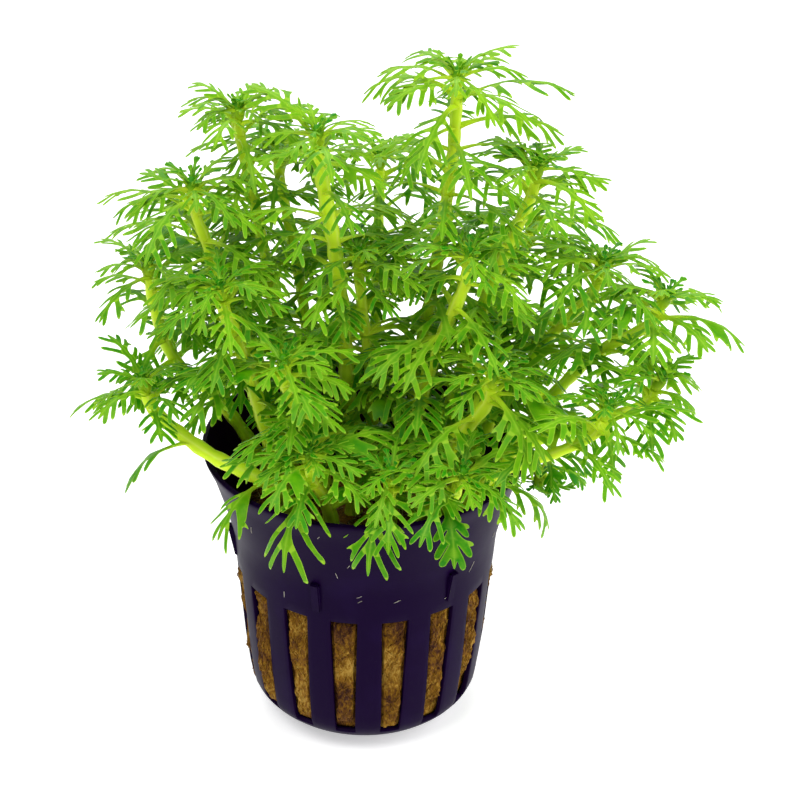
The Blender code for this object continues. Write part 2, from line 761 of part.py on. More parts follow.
def stem_body(shoot, placed):
    """Make a stem's tube along its path, with the leaves that grow from it."""
    bm = bmesh.new()
    shares = stem_shares(shoot)
    rings = []
    for share in shares:
        point, way = stem_place(shoot, share)
        rings.append(ring_verts(bm, point, way, stem_radius(shoot, share)))
    bm.faces.new(list(reversed(rings[0])))
    walls = {}
    for index, (near, far) in enumerate(zip(rings, rings[1:])):
        for k in range(STEM_SIDES):
            step = (k + 1) % STEM_SIDES
            walls[(index, k)] = bm.faces.new((near[k], near[step], far[step], far[k]))
    bm.faces.new(rings[-1])
    bmesh.ops.recalc_face_normals(bm, faces=bm.faces)
    used = set()
    for place, leaf in placed:
        band = max(i for i, share in enumerate(shares) if share < place)
        heading = leaf.at(0.0)[1]
        free = [k for k in range(STEM_SIDES) if (band, k) not in used]
        side = max(free, key=lambda k: walls[(band, k)].normal.dot(heading))
        used.add((band, side))
        halves = bmesh.ops.triangulate(bm, faces=[walls[(band, side)]])["faces"]
        grow_leaf(bm, min(halves, key=lambda f: f.calc_center_median().z), leaf)
    bmesh.ops.triangulate(bm, faces=bm.faces)
    return bm


def make_stem(shoot, placed, collection, material):
    """Make a stem with the leaves that found a clear place."""
    name = f"stem_{shoot.number:02d}"
    return add_object(name, mesh_from(stem_body(shoot, placed), name), collection, material)


def main():
    """Build the pot, its wool and every shoot."""
    clear_scene()
    plant = make_collection("potted_water_violet")
    cutters = make_collection("cutters")
    plastic = make_material("pot_plastic", (0.012, 0.008, 0.035), 0.35)
    wool = make_material("mineral_wool", (0.32, 0.19, 0.05), 0.95)
    stalk = make_material("stem_green", (0.42, 0.62, 0.05), 0.45)
    blade = make_material("leaf_green", (0.10, 0.38, 0.03), 0.5)

    pot = make_pot(plant, cutters, plastic)
    plug = make_wool(plant, wool)

    thicket = Thicket()
    take_mesh(thicket, pot)
    take_mesh(thicket, plug)
    for shoot in SHOOTS:
        take_stem(thicket, shoot)
        take_bud(thicket, shoot)
    on_stem = {shoot: [] for shoot in SHOOTS}
    for shoot in SHOOTS:
        settle_on_stem(thicket, shoot, on_stem[shoot], side_leaves(shoot))
    for shoot in SHOOTS:
        make_crown(shoot, settle_on_crown(thicket, shoot), plant, blade)
    for shoot in SHOOTS:
        settle_on_stem(thicket, shoot, on_stem[shoot], whorl_leaves(shoot))
        make_stem(shoot, on_stem[shoot], plant, stalk)


main()
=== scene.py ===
"""Looks of a potted water violet: feathery shoots rooted in mineral wool in a slotted pot.

Sizes are in millimetres and angles in degrees, unless a name says otherwise. The shoots grow
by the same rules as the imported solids, and each leaf takes the place of its solid leaf.
"""
import logging
import math
import random
from dataclasses import dataclass, field, replace
from enum import Enum

import bmesh
import bpy
import numpy as np
from mathutils import Matrix, Vector, noise
from mathutils.geometry import delaunay_2d_cdt
from mathutils.kdtree import KDTree


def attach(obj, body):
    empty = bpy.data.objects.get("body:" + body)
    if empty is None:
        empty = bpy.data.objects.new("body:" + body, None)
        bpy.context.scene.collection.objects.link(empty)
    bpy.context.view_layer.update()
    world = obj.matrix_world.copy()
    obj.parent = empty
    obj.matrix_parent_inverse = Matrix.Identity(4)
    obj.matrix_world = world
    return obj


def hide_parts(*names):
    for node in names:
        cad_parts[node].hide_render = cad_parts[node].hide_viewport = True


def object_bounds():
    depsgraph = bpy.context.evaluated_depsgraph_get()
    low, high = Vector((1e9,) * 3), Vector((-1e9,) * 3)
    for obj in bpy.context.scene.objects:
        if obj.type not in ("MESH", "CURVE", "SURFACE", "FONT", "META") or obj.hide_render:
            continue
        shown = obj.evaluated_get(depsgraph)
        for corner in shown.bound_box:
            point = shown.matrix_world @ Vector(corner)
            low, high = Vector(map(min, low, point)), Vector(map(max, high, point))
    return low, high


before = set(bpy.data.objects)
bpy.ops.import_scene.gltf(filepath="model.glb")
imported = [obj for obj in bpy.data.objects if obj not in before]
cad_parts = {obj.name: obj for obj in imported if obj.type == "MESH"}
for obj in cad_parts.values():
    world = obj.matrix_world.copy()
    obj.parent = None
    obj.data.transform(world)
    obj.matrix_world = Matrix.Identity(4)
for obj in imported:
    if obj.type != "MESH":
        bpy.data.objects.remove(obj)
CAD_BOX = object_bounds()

LOG = logging.getLogger("water_violet")
Face = tuple[int, ...]
Spot = tuple[float, float, float]
MM = 0.001
UP = Vector((0.0, 0.0, 1.0))

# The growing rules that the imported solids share.
WOOL_FACE = 36.3
BUD_HEIGHT = 3.4
GAP = 0.3
NECK = 3.0
BEND_ROUNDS = 3
REACH_BEND = 50.0
GOLDEN_ANGLE = 137.5
SEED = 7

# Each turn, lift and scale that a solid leaf was tried with, in order, to clear the others.
TRIES = (
    (0.0, 0.0, 1.0), (9.0, 0.0, 1.0), (-9.0, 0.0, 1.0), (0.0, 12.0, 1.0), (0.0, -12.0, 1.0),
    (16.0, 6.0, 1.0), (-16.0, 6.0, 1.0), (14.0, -10.0, 1.0), (-14.0, -10.0, 1.0),
    (0.0, 22.0, 0.95), (10.0, 20.0, 0.9), (-10.0, 20.0, 0.9), (0.0, -20.0, 0.85),
    (20.0, 10.0, 0.8), (-20.0, 10.0, 0.8), (0.0, 30.0, 0.75), (0.0, 5.0, 0.7),
    (12.0, 30.0, 0.65), (-12.0, 30.0, 0.65), (0.0, 40.0, 0.7), (24.0, 18.0, 0.7),
    (-24.0, 18.0, 0.7), (0.0, -14.0, 0.6),
)


def held(value: float) -> float:
    """Return a value held between 0 and 1."""
    return min(1.0, max(0.0, value))


def between(ends: tuple[float, float], share: float) -> float:
    """Return the value at a share of the way between two ends."""
    return ends[0] + (ends[1] - ends[0]) * share


def polar(turn: float, reach: float, height: float) -> Spot:
    """Return the point at an azimuth, a distance from the pot's axis and a height."""
    angle = math.radians(turn)
    return (reach * math.cos(angle), reach * math.sin(angle), height)


def linear(colour: str) -> tuple[float, float, float, float]:
    """Turn an sRGB hex value into a linear colour.

    Args:
        colour: the value, such as "#1D1332".

    Returns:
        Red, green, blue and an alpha of one.
    """
    parts = [int(colour[i:i + 2], 16) / 255.0 for i in (1, 3, 5)]
    made = [p / 12.92 if p <= 0.04045 else ((p + 0.055) / 1.055) ** 2.4 for p in parts]
    return (made[0], made[1], made[2], 1.0)


def add(tree: bpy.types.NodeTree, kind: str, links: dict | None = None,
        values: dict | None = None, **settings: object) -> bpy.types.Node:
    """Add a shader node with its settings, values and incoming links.

    Args:
        tree: the material's node tree.
        kind: the node's type, without "ShaderNode" before it.
        links: an output socket for each linked input, by name or index.
        values: a value for each unlinked input, by name or index.
        settings: the node's own settings; stops are the (place, colour) pairs of a ramp.

    Returns:
        The new node.
    """
    node = tree.nodes.new("ShaderNode" + kind)
    for place, colour in settings.pop("stops", ()):
        stops = node.color_ramp.elements
        stop = stops[-1] if place >= 1.0 else stops[0] if place <= 0.0 else stops.new(place)
        stop.color = linear(colour)
    for name, value in settings.items():
        setattr(node, name, value)
    for name, value in (values or {}).items():
        node.inputs[name].default_value = value
    for name, socket in (links or {}).items():
        tree.links.new(socket, node.inputs[name])
    return node


def open_material(name: str, roughness: float, sheen: float = 0.5) -> tuple[
        bpy.types.Material, bpy.types.NodeTree, bpy.types.Node]:
    """Make a material whose tree holds one Principled shader.

    Args:
        name: the material's name.
        roughness: how rough the surface is.
        sheen: how strongly it mirrors light, where 0.5 is common.

    Returns:
        The material, its node tree and its shader node.
    """
    material = bpy.data.materials.new(name)
    material.use_nodes = True
    tree = material.node_tree
    shader = tree.nodes["Principled BSDF"]
    shader.inputs["Roughness"].default_value = roughness
    shader.inputs["Specular IOR Level"].default_value = sheen
    return material, tree, shader


@dataclass(frozen=True)
class MouldedPolypropylene:
    """Violet-black polypropylene, injection moulded: a soft sheen over a fine eggshell skin.

    The skin's grain is drawn coarser than a mould's is, so that it shows.
    """

    name: str = "moulded_polypropylene"
    body: str = "#140228"
    pale: str = "#1C0A36"
    dust: str = "#6A6070"
    skin_mm: float = 0.45
    skin_depth_mm: float = 0.05
    skin_strength: float = 0.12
    dust_share: float = 0.5
    shine_change: tuple[float, float] = (-0.06, 0.14)
    dust_mm: float = 1.35
    flow_mm: float = 9.0
    roughness: float = 0.36
    ior: float = 1.49
    sheen: float = 0.03

    def build(self) -> bpy.types.Material:
        """Build the pot's material.

        Returns:
            The material.
        """
        material, tree, shader = open_material(self.name, self.roughness, self.sheen)
        shader.inputs["IOR"].default_value = self.ior
        place = add(tree, "TexCoord").outputs["Object"]
        flow = add(tree, "TexNoise", {"Vector": place},
                   {"Scale": 1000.0 / self.flow_mm, "Detail": 3.0})
        tint = add(tree, "ValToRGB", {"Fac": flow.outputs["Fac"]},
                   stops=((0.0, self.body), (0.55, self.body), (1.0, self.pale)))
        speck = add(tree, "TexNoise", {"Vector": place},
                    {"Scale": 1000.0 / self.dust_mm, "Detail": 6.0, "Roughness": 0.75})
        dusty = add(tree, "MapRange", {"Value": speck.outputs["Fac"]},
                    {"From Min": 0.70, "From Max": 0.78, "To Max": self.dust_share})
        mixed = add(tree, "Mix", {0: dusty.outputs[0], 6: tint.outputs[0]},
                    {7: linear(self.dust)}, data_type="RGBA")
        tree.links.new(mixed.outputs[2], shader.inputs["Base Color"])
        rough = add(tree, "MapRange", {"Value": flow.outputs["Fac"]},
                    {"To Min": self.roughness + self.shine_change[0],
                     "To Max": self.roughness + self.shine_change[1]})
        tree.links.new(rough.outputs[0], shader.inputs["Roughness"])
        skin = add(tree, "TexNoise", {"Vector": place},
                   {"Scale": 1000.0 / self.skin_mm, "Detail": 2.0})
        bump = add(tree, "Bump", {"Height": skin.outputs["Fac"]},
                   {"Strength": self.skin_strength, "Distance": self.skin_depth_mm * MM})
        tree.links.new(bump.outputs[0], shader.inputs["Normal"])
        return material


@dataclass(frozen=True)
class DampMineralWool:
    """Spun mineral wool, damp and matted: golden fibres with painted shade in the hollows between
    them and a painted highlight on the raised strands.

    Real fibres are far too fine to show, so they are drawn half a millimetre apart.
    """

    name: str = "damp_mineral_wool"
    # Painted shade in the hollows between the fibres.
    shaded_hollow: str = "#3C2018"
    brown: str = "#664218"
    gold: str = "#865E16"
    # The wool's pale tone, partly a painted highlight on the raised strands.
    light: str = "#AE8A3C"
    patch_mm: float = 12.0
    clump_mm: float = 5.0
    strand_mm: float = 0.5
    stretch: Spot = (1.0, 1.0, 0.5)
    relief_mm: float = 0.4
    relief_strength: float = 0.8
    roughness: float = 0.55
    sheen: float = 0.05

    def build(self) -> bpy.types.Material:
        """Build the wool's material.

        Returns:
            The material.
        """
        material, tree, shader = open_material(self.name, self.roughness, self.sheen)
        place = add(tree, "TexCoord").outputs["Object"]
        clump = add(tree, "TexNoise", {"Vector": place},
                    {"Scale": 1000.0 / self.clump_mm, "Detail": 5.0, "Roughness": 0.6})
        drawn = add(tree, "Mapping", {"Vector": place}, {"Scale": self.stretch})
        strands = add(tree, "TexNoise", {"Vector": drawn.outputs[0]},
                      {"Scale": 1000.0 / self.strand_mm, "Detail": 4.0, "Distortion": 0.9})
        patch = add(tree, "TexNoise", {"Vector": place}, {"Scale": 1000.0 / self.patch_mm})
        slow = add(tree, "Mix", {2: patch.outputs["Fac"], 3: clump.outputs["Fac"]}, {0: 0.5})
        blend = add(tree, "Mix", {2: slow.outputs[0], 3: strands.outputs["Fac"]}, {0: 0.35})
        # The ramp runs from painted shade in the hollows, through the wool's brown and gold, to
        # its pale tone, which on the raised strands is partly a painted highlight.
        tint = add(tree, "ValToRGB", {"Fac": blend.outputs[0]},
                   stops=((0.0, self.shaded_hollow), (0.41, self.shaded_hollow), (0.47, self.brown),
                          (0.53, self.gold), (0.60, self.light), (1.0, self.light)))
        tree.links.new(tint.outputs[0], shader.inputs["Base Color"])
        bump = add(tree, "Bump", {"Height": strands.outputs["Fac"]},
                   {"Strength": self.relief_strength, "Distance": self.relief_mm * MM})
        tree.links.new(bump.outputs[0], shader.inputs["Normal"])
        return material


@dataclass(frozen=True)
class LivingTissue:
    """Watery plant tissue, smooth and thin-skinned: light shines through its thin places.

    The mesh carries a colour named "growth": how near the edge, how near a vein, how far
    along the leaf, and the leaf's tone, which holds painted shade. The edge tint is a painted
    highlight. Cells are drawn coarser than they are.
    """

    name: str
    deep: str
    fresh: str
    edge: str
    vein: str
    base: str
    mottle_mm: float = 2.4
    mottle: float = 0.22
    edge_highlight_share: float = 0.45
    vein_share: float = 0.35
    foot: tuple[float, float] = (0.04, 0.44)
    cell_mm: float = 0.5
    cell_depth_mm: float = 0.08
    roughness: float = 0.46
    sheen: float = 0.12
    glow: float = 0.18
    glow_mm: float = 1.2
    glow_colour: Spot = (0.6, 1.0, 0.2)

    def build(self) -> bpy.types.Material:
        """Build the tissue's material.

        Returns:
            The material.
        """
        material, tree, shader = open_material(self.name, self.roughness, self.sheen)
        place = add(tree, "TexCoord").outputs["Object"]
        growth = add(tree, "Attribute", attribute_name="growth")
        parts = add(tree, "SeparateColor", {"Color": growth.outputs["Color"]})
        mottle = add(tree, "TexNoise", {"Vector": place},
                     {"Scale": 1000.0 / self.mottle_mm, "Detail": 3.0})
        patch = add(tree, "MapRange", {"Value": mottle.outputs["Fac"]},
                    {"From Min": 0.3, "From Max": 0.7, "To Min": -self.mottle,
                     "To Max": self.mottle})
        # The leaf's tone holds painted shade, set where each leaf is grown; the mottle adds
        # random patches.
        tone = add(tree, "Math", {0: growth.outputs["Alpha"], 1: patch.outputs[0]},
                   operation="ADD", use_clamp=True)
        body = add(tree, "Mix", {0: tone.outputs[0]},
                   {6: linear(self.deep), 7: linear(self.fresh)}, data_type="RGBA")
        colour = body.outputs[2]
        # The first tint is a painted highlight along the leaf's edges; the second is the veins'
        # paler colour.
        for channel, power, share, tint in ((0, 5.0, self.edge_highlight_share, self.edge),
                                            (1, 2.2, self.vein_share, self.vein)):
            near = add(tree, "Math", {0: parts.outputs[channel]}, {1: power},
                       operation="POWER")
            part = add(tree, "Math", {0: near.outputs[0]}, {1: share}, operation="MULTIPLY")
            colour = add(tree, "Mix", {0: part.outputs[0], 6: colour}, {7: linear(tint)},
                         data_type="RGBA").outputs[2]
        foot = add(tree, "MapRange", {"Value": parts.outputs[2]},
                   {"From Min": self.foot[0], "From Max": self.foot[1], "To Min": 1.0,
                    "To Max": 0.0}, interpolation_type="SMOOTHSTEP")
        whole = add(tree, "Mix", {0: foot.outputs[0], 6: colour},
                    {7: linear(self.base)}, data_type="RGBA")
        tree.links.new(whole.outputs[2], shader.inputs["Base Color"])
        cells = add(tree, "TexNoise", {"Vector": place},
                    {"Scale": 1000.0 / self.cell_mm, "Detail": 2.0})
        bump = add(tree, "Bump", {"Height": cells.outputs["Fac"]},
                   {"Strength": 0.25, "Distance": self.cell_depth_mm * MM})
        tree.links.new(bump.outputs[0], shader.inputs["Normal"])
        shader.inputs["Subsurface Weight"].default_value = self.glow
        shader.inputs["Subsurface Radius"].default_value = self.glow_colour
        shader.inputs["Subsurface Scale"].default_value = self.glow_mm * MM
        return material


@dataclass(frozen=True)
class FineThread:
    """A fine round thread with two tones in soft patches along it."""

    name: str
    dark: str
    light: str
    light_from: float
    patch_mm: float
    detail: float
    roughness: float
    dark_to: float = 0.4

    def build(self) -> bpy.types.Material:
        """Build the thread's material.

        Returns:
            The material.
        """
        material, tree, shader = open_material(self.name, self.roughness)
        place = add(tree, "TexCoord").outputs["Object"]
        patch = add(tree, "TexNoise", {"Vector": place},
                    {"Scale": 1000.0 / self.patch_mm, "Detail": self.detail})
        tint = add(tree, "ValToRGB", {"Fac": patch.outputs["Fac"]},
                   stops=((0.0, self.dark), (self.dark_to, self.dark),
                          (self.light_from, self.light), (1.0, self.light)))
        tree.links.new(tint.outputs[0], shader.inputs["Base Color"])
        return material


@dataclass(frozen=True)
class StudioPaper:
    """Matt white studio paper: an even pale ground that takes a soft shadow."""

    name: str = "studio_paper"
    white: str = "#F4F4F4"
    roughness: float = 0.9
    lift: float = 0.48

    def build(self) -> bpy.types.Material:
        """Build the floor's material.

        Returns:
            The material.
        """
        material, _, shader = open_material(self.name, self.roughness, 0.0)
        shader.inputs["Base Color"].default_value = linear(self.white)
        shader.inputs["Emission Color"].default_value = linear("#FFFFFF")
        shader.inputs["Emission Strength"].default_value = self.lift
        return material


# Leaves are fresh green, lighter at their veins and feet, with a painted highlight along their
# edges.
LEAF_TISSUE = LivingTissue("leaf_tissue", deep="#187C00", fresh="#7EB404", edge="#B4DC3C",
                           vein="#B8DE40", base="#C8E62C")
# Stems are pale yellow-green and glow more, because they are full of water.
STEM_TISSUE = LivingTissue("stem_tissue", deep="#BCE60C", fresh="#DEFA34", edge="#DEFA34",
                           vein="#F2FF84", base="#D0EA3C", mottle_mm=5.0, glow=0.24)
# A living root is round and watery: cream with a faint brown cast.
PALE_ROOT = FineThread("pale_root", dark="#6E5533", light="#B5A37E", light_from=0.62,
                       patch_mm=2.0, detail=3.0, roughness=0.5)
# A single fibre of spun mineral wool is dry and glassy: pale straw with a soft glint.
DRY_WOOL_FIBRE = FineThread("dry_wool_fibre", dark="#958E80", light="#B4AFA2", light_from=0.6,
                            patch_mm=1.0, detail=2.0, roughness=0.4)


class LeafKind(Enum):
    """The kinds of leaf, by age and by place on the shoot."""

    OUTER = "outer"
    LOWER = "lower"
    INNER = "inner"
    YOUNG = "young"
    FINGERED = "fingered"
    BROAD = "broad"


@dataclass(frozen=True)
class BladeForm:
    """How a leaf is divided into lobes.

    The span and the reach are shares of the leaf's length, and pairs of values are for the
    first and the last lobe. Half widths are those of a leaf of the full length.
    """

    pairs: int
    span: tuple[float, float]
    spread: tuple[float, float]
    reach: tuple[float, float]
    lobe_half: float
    rachis_half: float
    stalk_half: float
    forked: float
    rounds: int = 2
    full_length: float = 18.0


BLADES = {
    LeafKind.OUTER: BladeForm(4, (0.36, 0.80), (62.0, 44.0), (0.37, 0.23), lobe_half=0.39,
                              rachis_half=0.46, stalk_half=0.38, forked=0.35),
    LeafKind.LOWER: BladeForm(4, (0.34, 0.79), (62.0, 44.0), (0.40, 0.26), lobe_half=0.46,
                              rachis_half=0.60, stalk_half=0.42, forked=0.45),
    LeafKind.INNER: BladeForm(3, (0.40, 0.78), (58.0, 42.0), (0.36, 0.25), lobe_half=0.32,
                              rachis_half=0.36, stalk_half=0.32, forked=0.30,
                              full_length=11.0),
    LeafKind.YOUNG: BladeForm(2, (0.48, 0.76), (48.0, 32.0), (0.30, 0.22), lobe_half=0.22,
                              rachis_half=0.28, stalk_half=0.28, forked=0.0, rounds=1,
                              full_length=6.0),
    LeafKind.FINGERED: BladeForm(3, (0.30, 0.68), (54.0, 36.0), (0.56, 0.42), lobe_half=0.43,
                                 rachis_half=0.56, stalk_half=0.46, forked=0.3),
    LeafKind.BROAD: BladeForm(3, (0.44, 0.76), (58.0, 38.0), (0.36, 0.26), lobe_half=0.66,
                              rachis_half=0.80, stalk_half=0.50, forked=0.2,
                              full_length=16.0),
}


@dataclass(frozen=True)
class LeafPlace:
    """Where a leaf grows, and the arch that its midrib follows."""

    base: Vector
    azimuth: float
    rise: float
    droop: float
    length: float
    kind: LeafKind
    lean: Matrix | None = None

    def changed(self, turn: float, lift: float, scale: float) -> "LeafPlace":
        """Return a copy that is turned, lifted or shortened."""
        return replace(self, azimuth=self.azimuth + turn, rise=self.rise + lift,
                       droop=self.droop + lift, length=self.length * scale)

    def along(self, shares: np.ndarray) -> tuple[np.ndarray, np.ndarray, np.ndarray]:
        """Follow the midrib.

        Args:
            shares: places along the leaf, from 0 at its foot to 1 at its tip.

        Returns:
            The points, the sideways direction and the upward normals there.
        """
        start, bend = math.radians(self.rise), math.radians(self.droop - self.rise)
        angle = start + bend * shares
        out = self.length * (np.sin(angle) - math.sin(start)) / bend
        up = self.length * (math.cos(start) - np.cos(angle)) / bend
        turn = math.radians(self.azimuth)
        heading = np.array((math.cos(turn), math.sin(turn), 0.0))
        side = np.array((-math.sin(turn), math.cos(turn), 0.0))
        top = np.array((0.0, 0.0, 1.0))
        points = np.outer(out, heading) + np.outer(up, top)
        normals = np.outer(-np.sin(angle), heading) + np.outer(np.cos(angle), top)
        if self.lean is not None:
            spin = np.array(self.lean)
            points, side, normals = points @ spin.T, spin @ side, normals @ spin.T
        return points + np.array(self.base), side, normals

    def tip(self) -> Vector:
        """Return the leaf's end point."""
        return Vector(self.along(np.array([1.0]))[0][0])

    def rooted(self, foot: Vector, bend: float) -> "LeafPlace":
        """Return the leaf with the same tip that rises from a lower foot and arches more.

        Args:
            foot: the new foot.
            bend: how much more it bends.

        Returns:
            The leaf.
        """
        made = LeafPlace.aimed(foot, self.tip(), self.rise - self.droop + bend)
        return replace(made, kind=self.kind)

    @classmethod
    def aimed(cls, base: Vector, tip: Vector, bend: float) -> "LeafPlace":
        """Make the leaf that arches from a base to a tip.

        Args:
            base: the leaf's foot.
            tip: the point that it reaches.
            bend: how far it turns down on its way.

        Returns:
            The leaf.
        """
        chord = tip - base
        slope = math.degrees(math.atan2(chord.z, math.hypot(chord.x, chord.y)))
        half = math.radians(0.5 * bend)
        length = chord.length * half / math.sin(half)
        azimuth = math.degrees(math.atan2(chord.y, chord.x))
        return cls(base, azimuth, slope + 0.5 * bend, slope - 0.5 * bend, length, LeafKind.OUTER)


@dataclass(frozen=True)
class Shoot:
    """One shoot: its foot on the wool, the points it passes, and its crown.

    Whorls are places along the stem, reach holds the tips of crown leaves, and sides holds
    each single stem leaf's place, tip and bend. Leafy is the share of the stem, from its
    top, that small leaves crowd.
    """

    number: int
    foot: tuple[float, float]
    crown: Spot
    thick: float
    leaf: float
    turn: float
    whorls: tuple[float, ...] = ()
    via: tuple[Spot, ...] = ()
    reach: tuple[Spot, ...] = ()
    sides: tuple[tuple[float, Spot, float], ...] = ()
    lean: float = 0.35
    side_kinds: tuple[LeafKind, ...] = ()
    leafy: float = 0.72

    def axis(self) -> Vector:
        """Return the way that the crown faces."""
        last = Vector(self.via[-1]) if self.via else self.start()
        return UP.lerp((Vector(self.crown) - last).normalized(), self.lean).normalized()

    def start(self) -> Vector:
        """Return the stem's first point."""
        return Vector((self.foot[0], self.foot[1], WOOL_FACE))

    def turned(self) -> Matrix:
        """Return the rotation that leans the crown."""
        return UP.rotation_difference(self.axis()).to_matrix()

    def path(self) -> list[Vector]:
        """Draw the stem's rounded path.

        Returns:
            The points from the wool to the crown.
        """
        crown = Vector(self.crown)
        points = [self.start()]
        if self.via:
            points += [Vector(point) for point in self.via]
        else:
            rise = (crown.z - WOOL_FACE) * 0.12
            points.append(self.start().lerp(crown, 0.5) + UP * rise)
        under = crown - self.axis() * (BUD_HEIGHT * 0.5 + GAP)
        points += [under - self.axis() * NECK, under]
        for _ in range(BEND_ROUNDS):
            kept = [points[0]]
            for start, end in zip(points, points[1:]):
                kept += [start.lerp(end, 0.25), start.lerp(end, 0.75)]
            points = kept + [points[-1]]
        return points

    def length(self) -> float:
        """Return the length of the stem's path."""
        path = self.path()
        return sum((end - start).length for start, end in zip(path, path[1:]))

    def place(self, share: float) -> Vector:
        """Find a point along the stem.

        Args:
            share: how far along, from 0 to 1.

        Returns:
            The point.
        """
        path = self.path()
        left = self.length() * share
        for start, end in zip(path, path[1:]):
            span = (end - start).length
            if left <= span:
                return start.lerp(end, left / span)
            left -= span
        return path[-1]

    def crown_leaves(self) -> list[LeafPlace]:
        """Plan the leaves of the crown.

        Returns:
            The drooping outer whorl and then the rising inner one.
        """
        chance = random.Random(SEED * 1000 + self.number)
        lean, crown = self.turned(), Vector(self.crown)
        leaves = []
        for whorl in range(2):
            for index in range(5):
                azimuth = self.turn + 72.0 * index + 36.0 * whorl + chance.uniform(-8.0, 8.0)
                if whorl == 0:
                    rise = chance.uniform(8.0, 24.0)
                    droop = rise - chance.uniform(45.0, 70.0)
                    length, kind = self.leaf * chance.uniform(0.85, 1.05), LeafKind.OUTER
                else:
                    rise = chance.uniform(28.0, 42.0)
                    droop = rise - chance.uniform(45.0, 65.0)
                    length, kind = self.leaf * chance.uniform(0.52, 0.68), LeafKind.INNER
                leaves.append(LeafPlace(crown, azimuth, rise, droop, length, kind, lean))
        free = list(range(5))
        for tip in self.reach:
            leaf = LeafPlace.aimed(crown, Vector(tip), REACH_BEND)
            nearest = min(free, key=lambda k: abs(
                (leaves[k].azimuth - leaf.azimuth + 180.0) % 360.0 - 180.0))
            leaves[nearest] = leaf
            free.remove(nearest)
        return leaves

    def stem_leaves(self) -> list[LeafPlace]:
        """Plan the leaves that the stem's solid may have.

        Returns:
            The single leaves and then the whorls.
        """
        leaves = [replace(LeafPlace.aimed(self.place(place), Vector(tip), bend), kind=kind)
                  for (place, tip, bend), kind in zip(self.sides, self.side_kinds)]
        chance = random.Random(SEED * 2000 + self.number)
        for order, place in enumerate(self.whorls):
            point = self.place(place)
            for index in range(2):
                azimuth = (self.turn + GOLDEN_ANGLE * order + 180.0 * index
                           + chance.uniform(-15.0, 15.0))
                rise = chance.uniform(20.0, 38.0)
                droop = rise - chance.uniform(50.0, 75.0)
                length = self.leaf * chance.uniform(0.85, 1.05)
                leaves.append(LeafPlace(point, azimuth, rise, droop, length, LeafKind.OUTER))
        return leaves


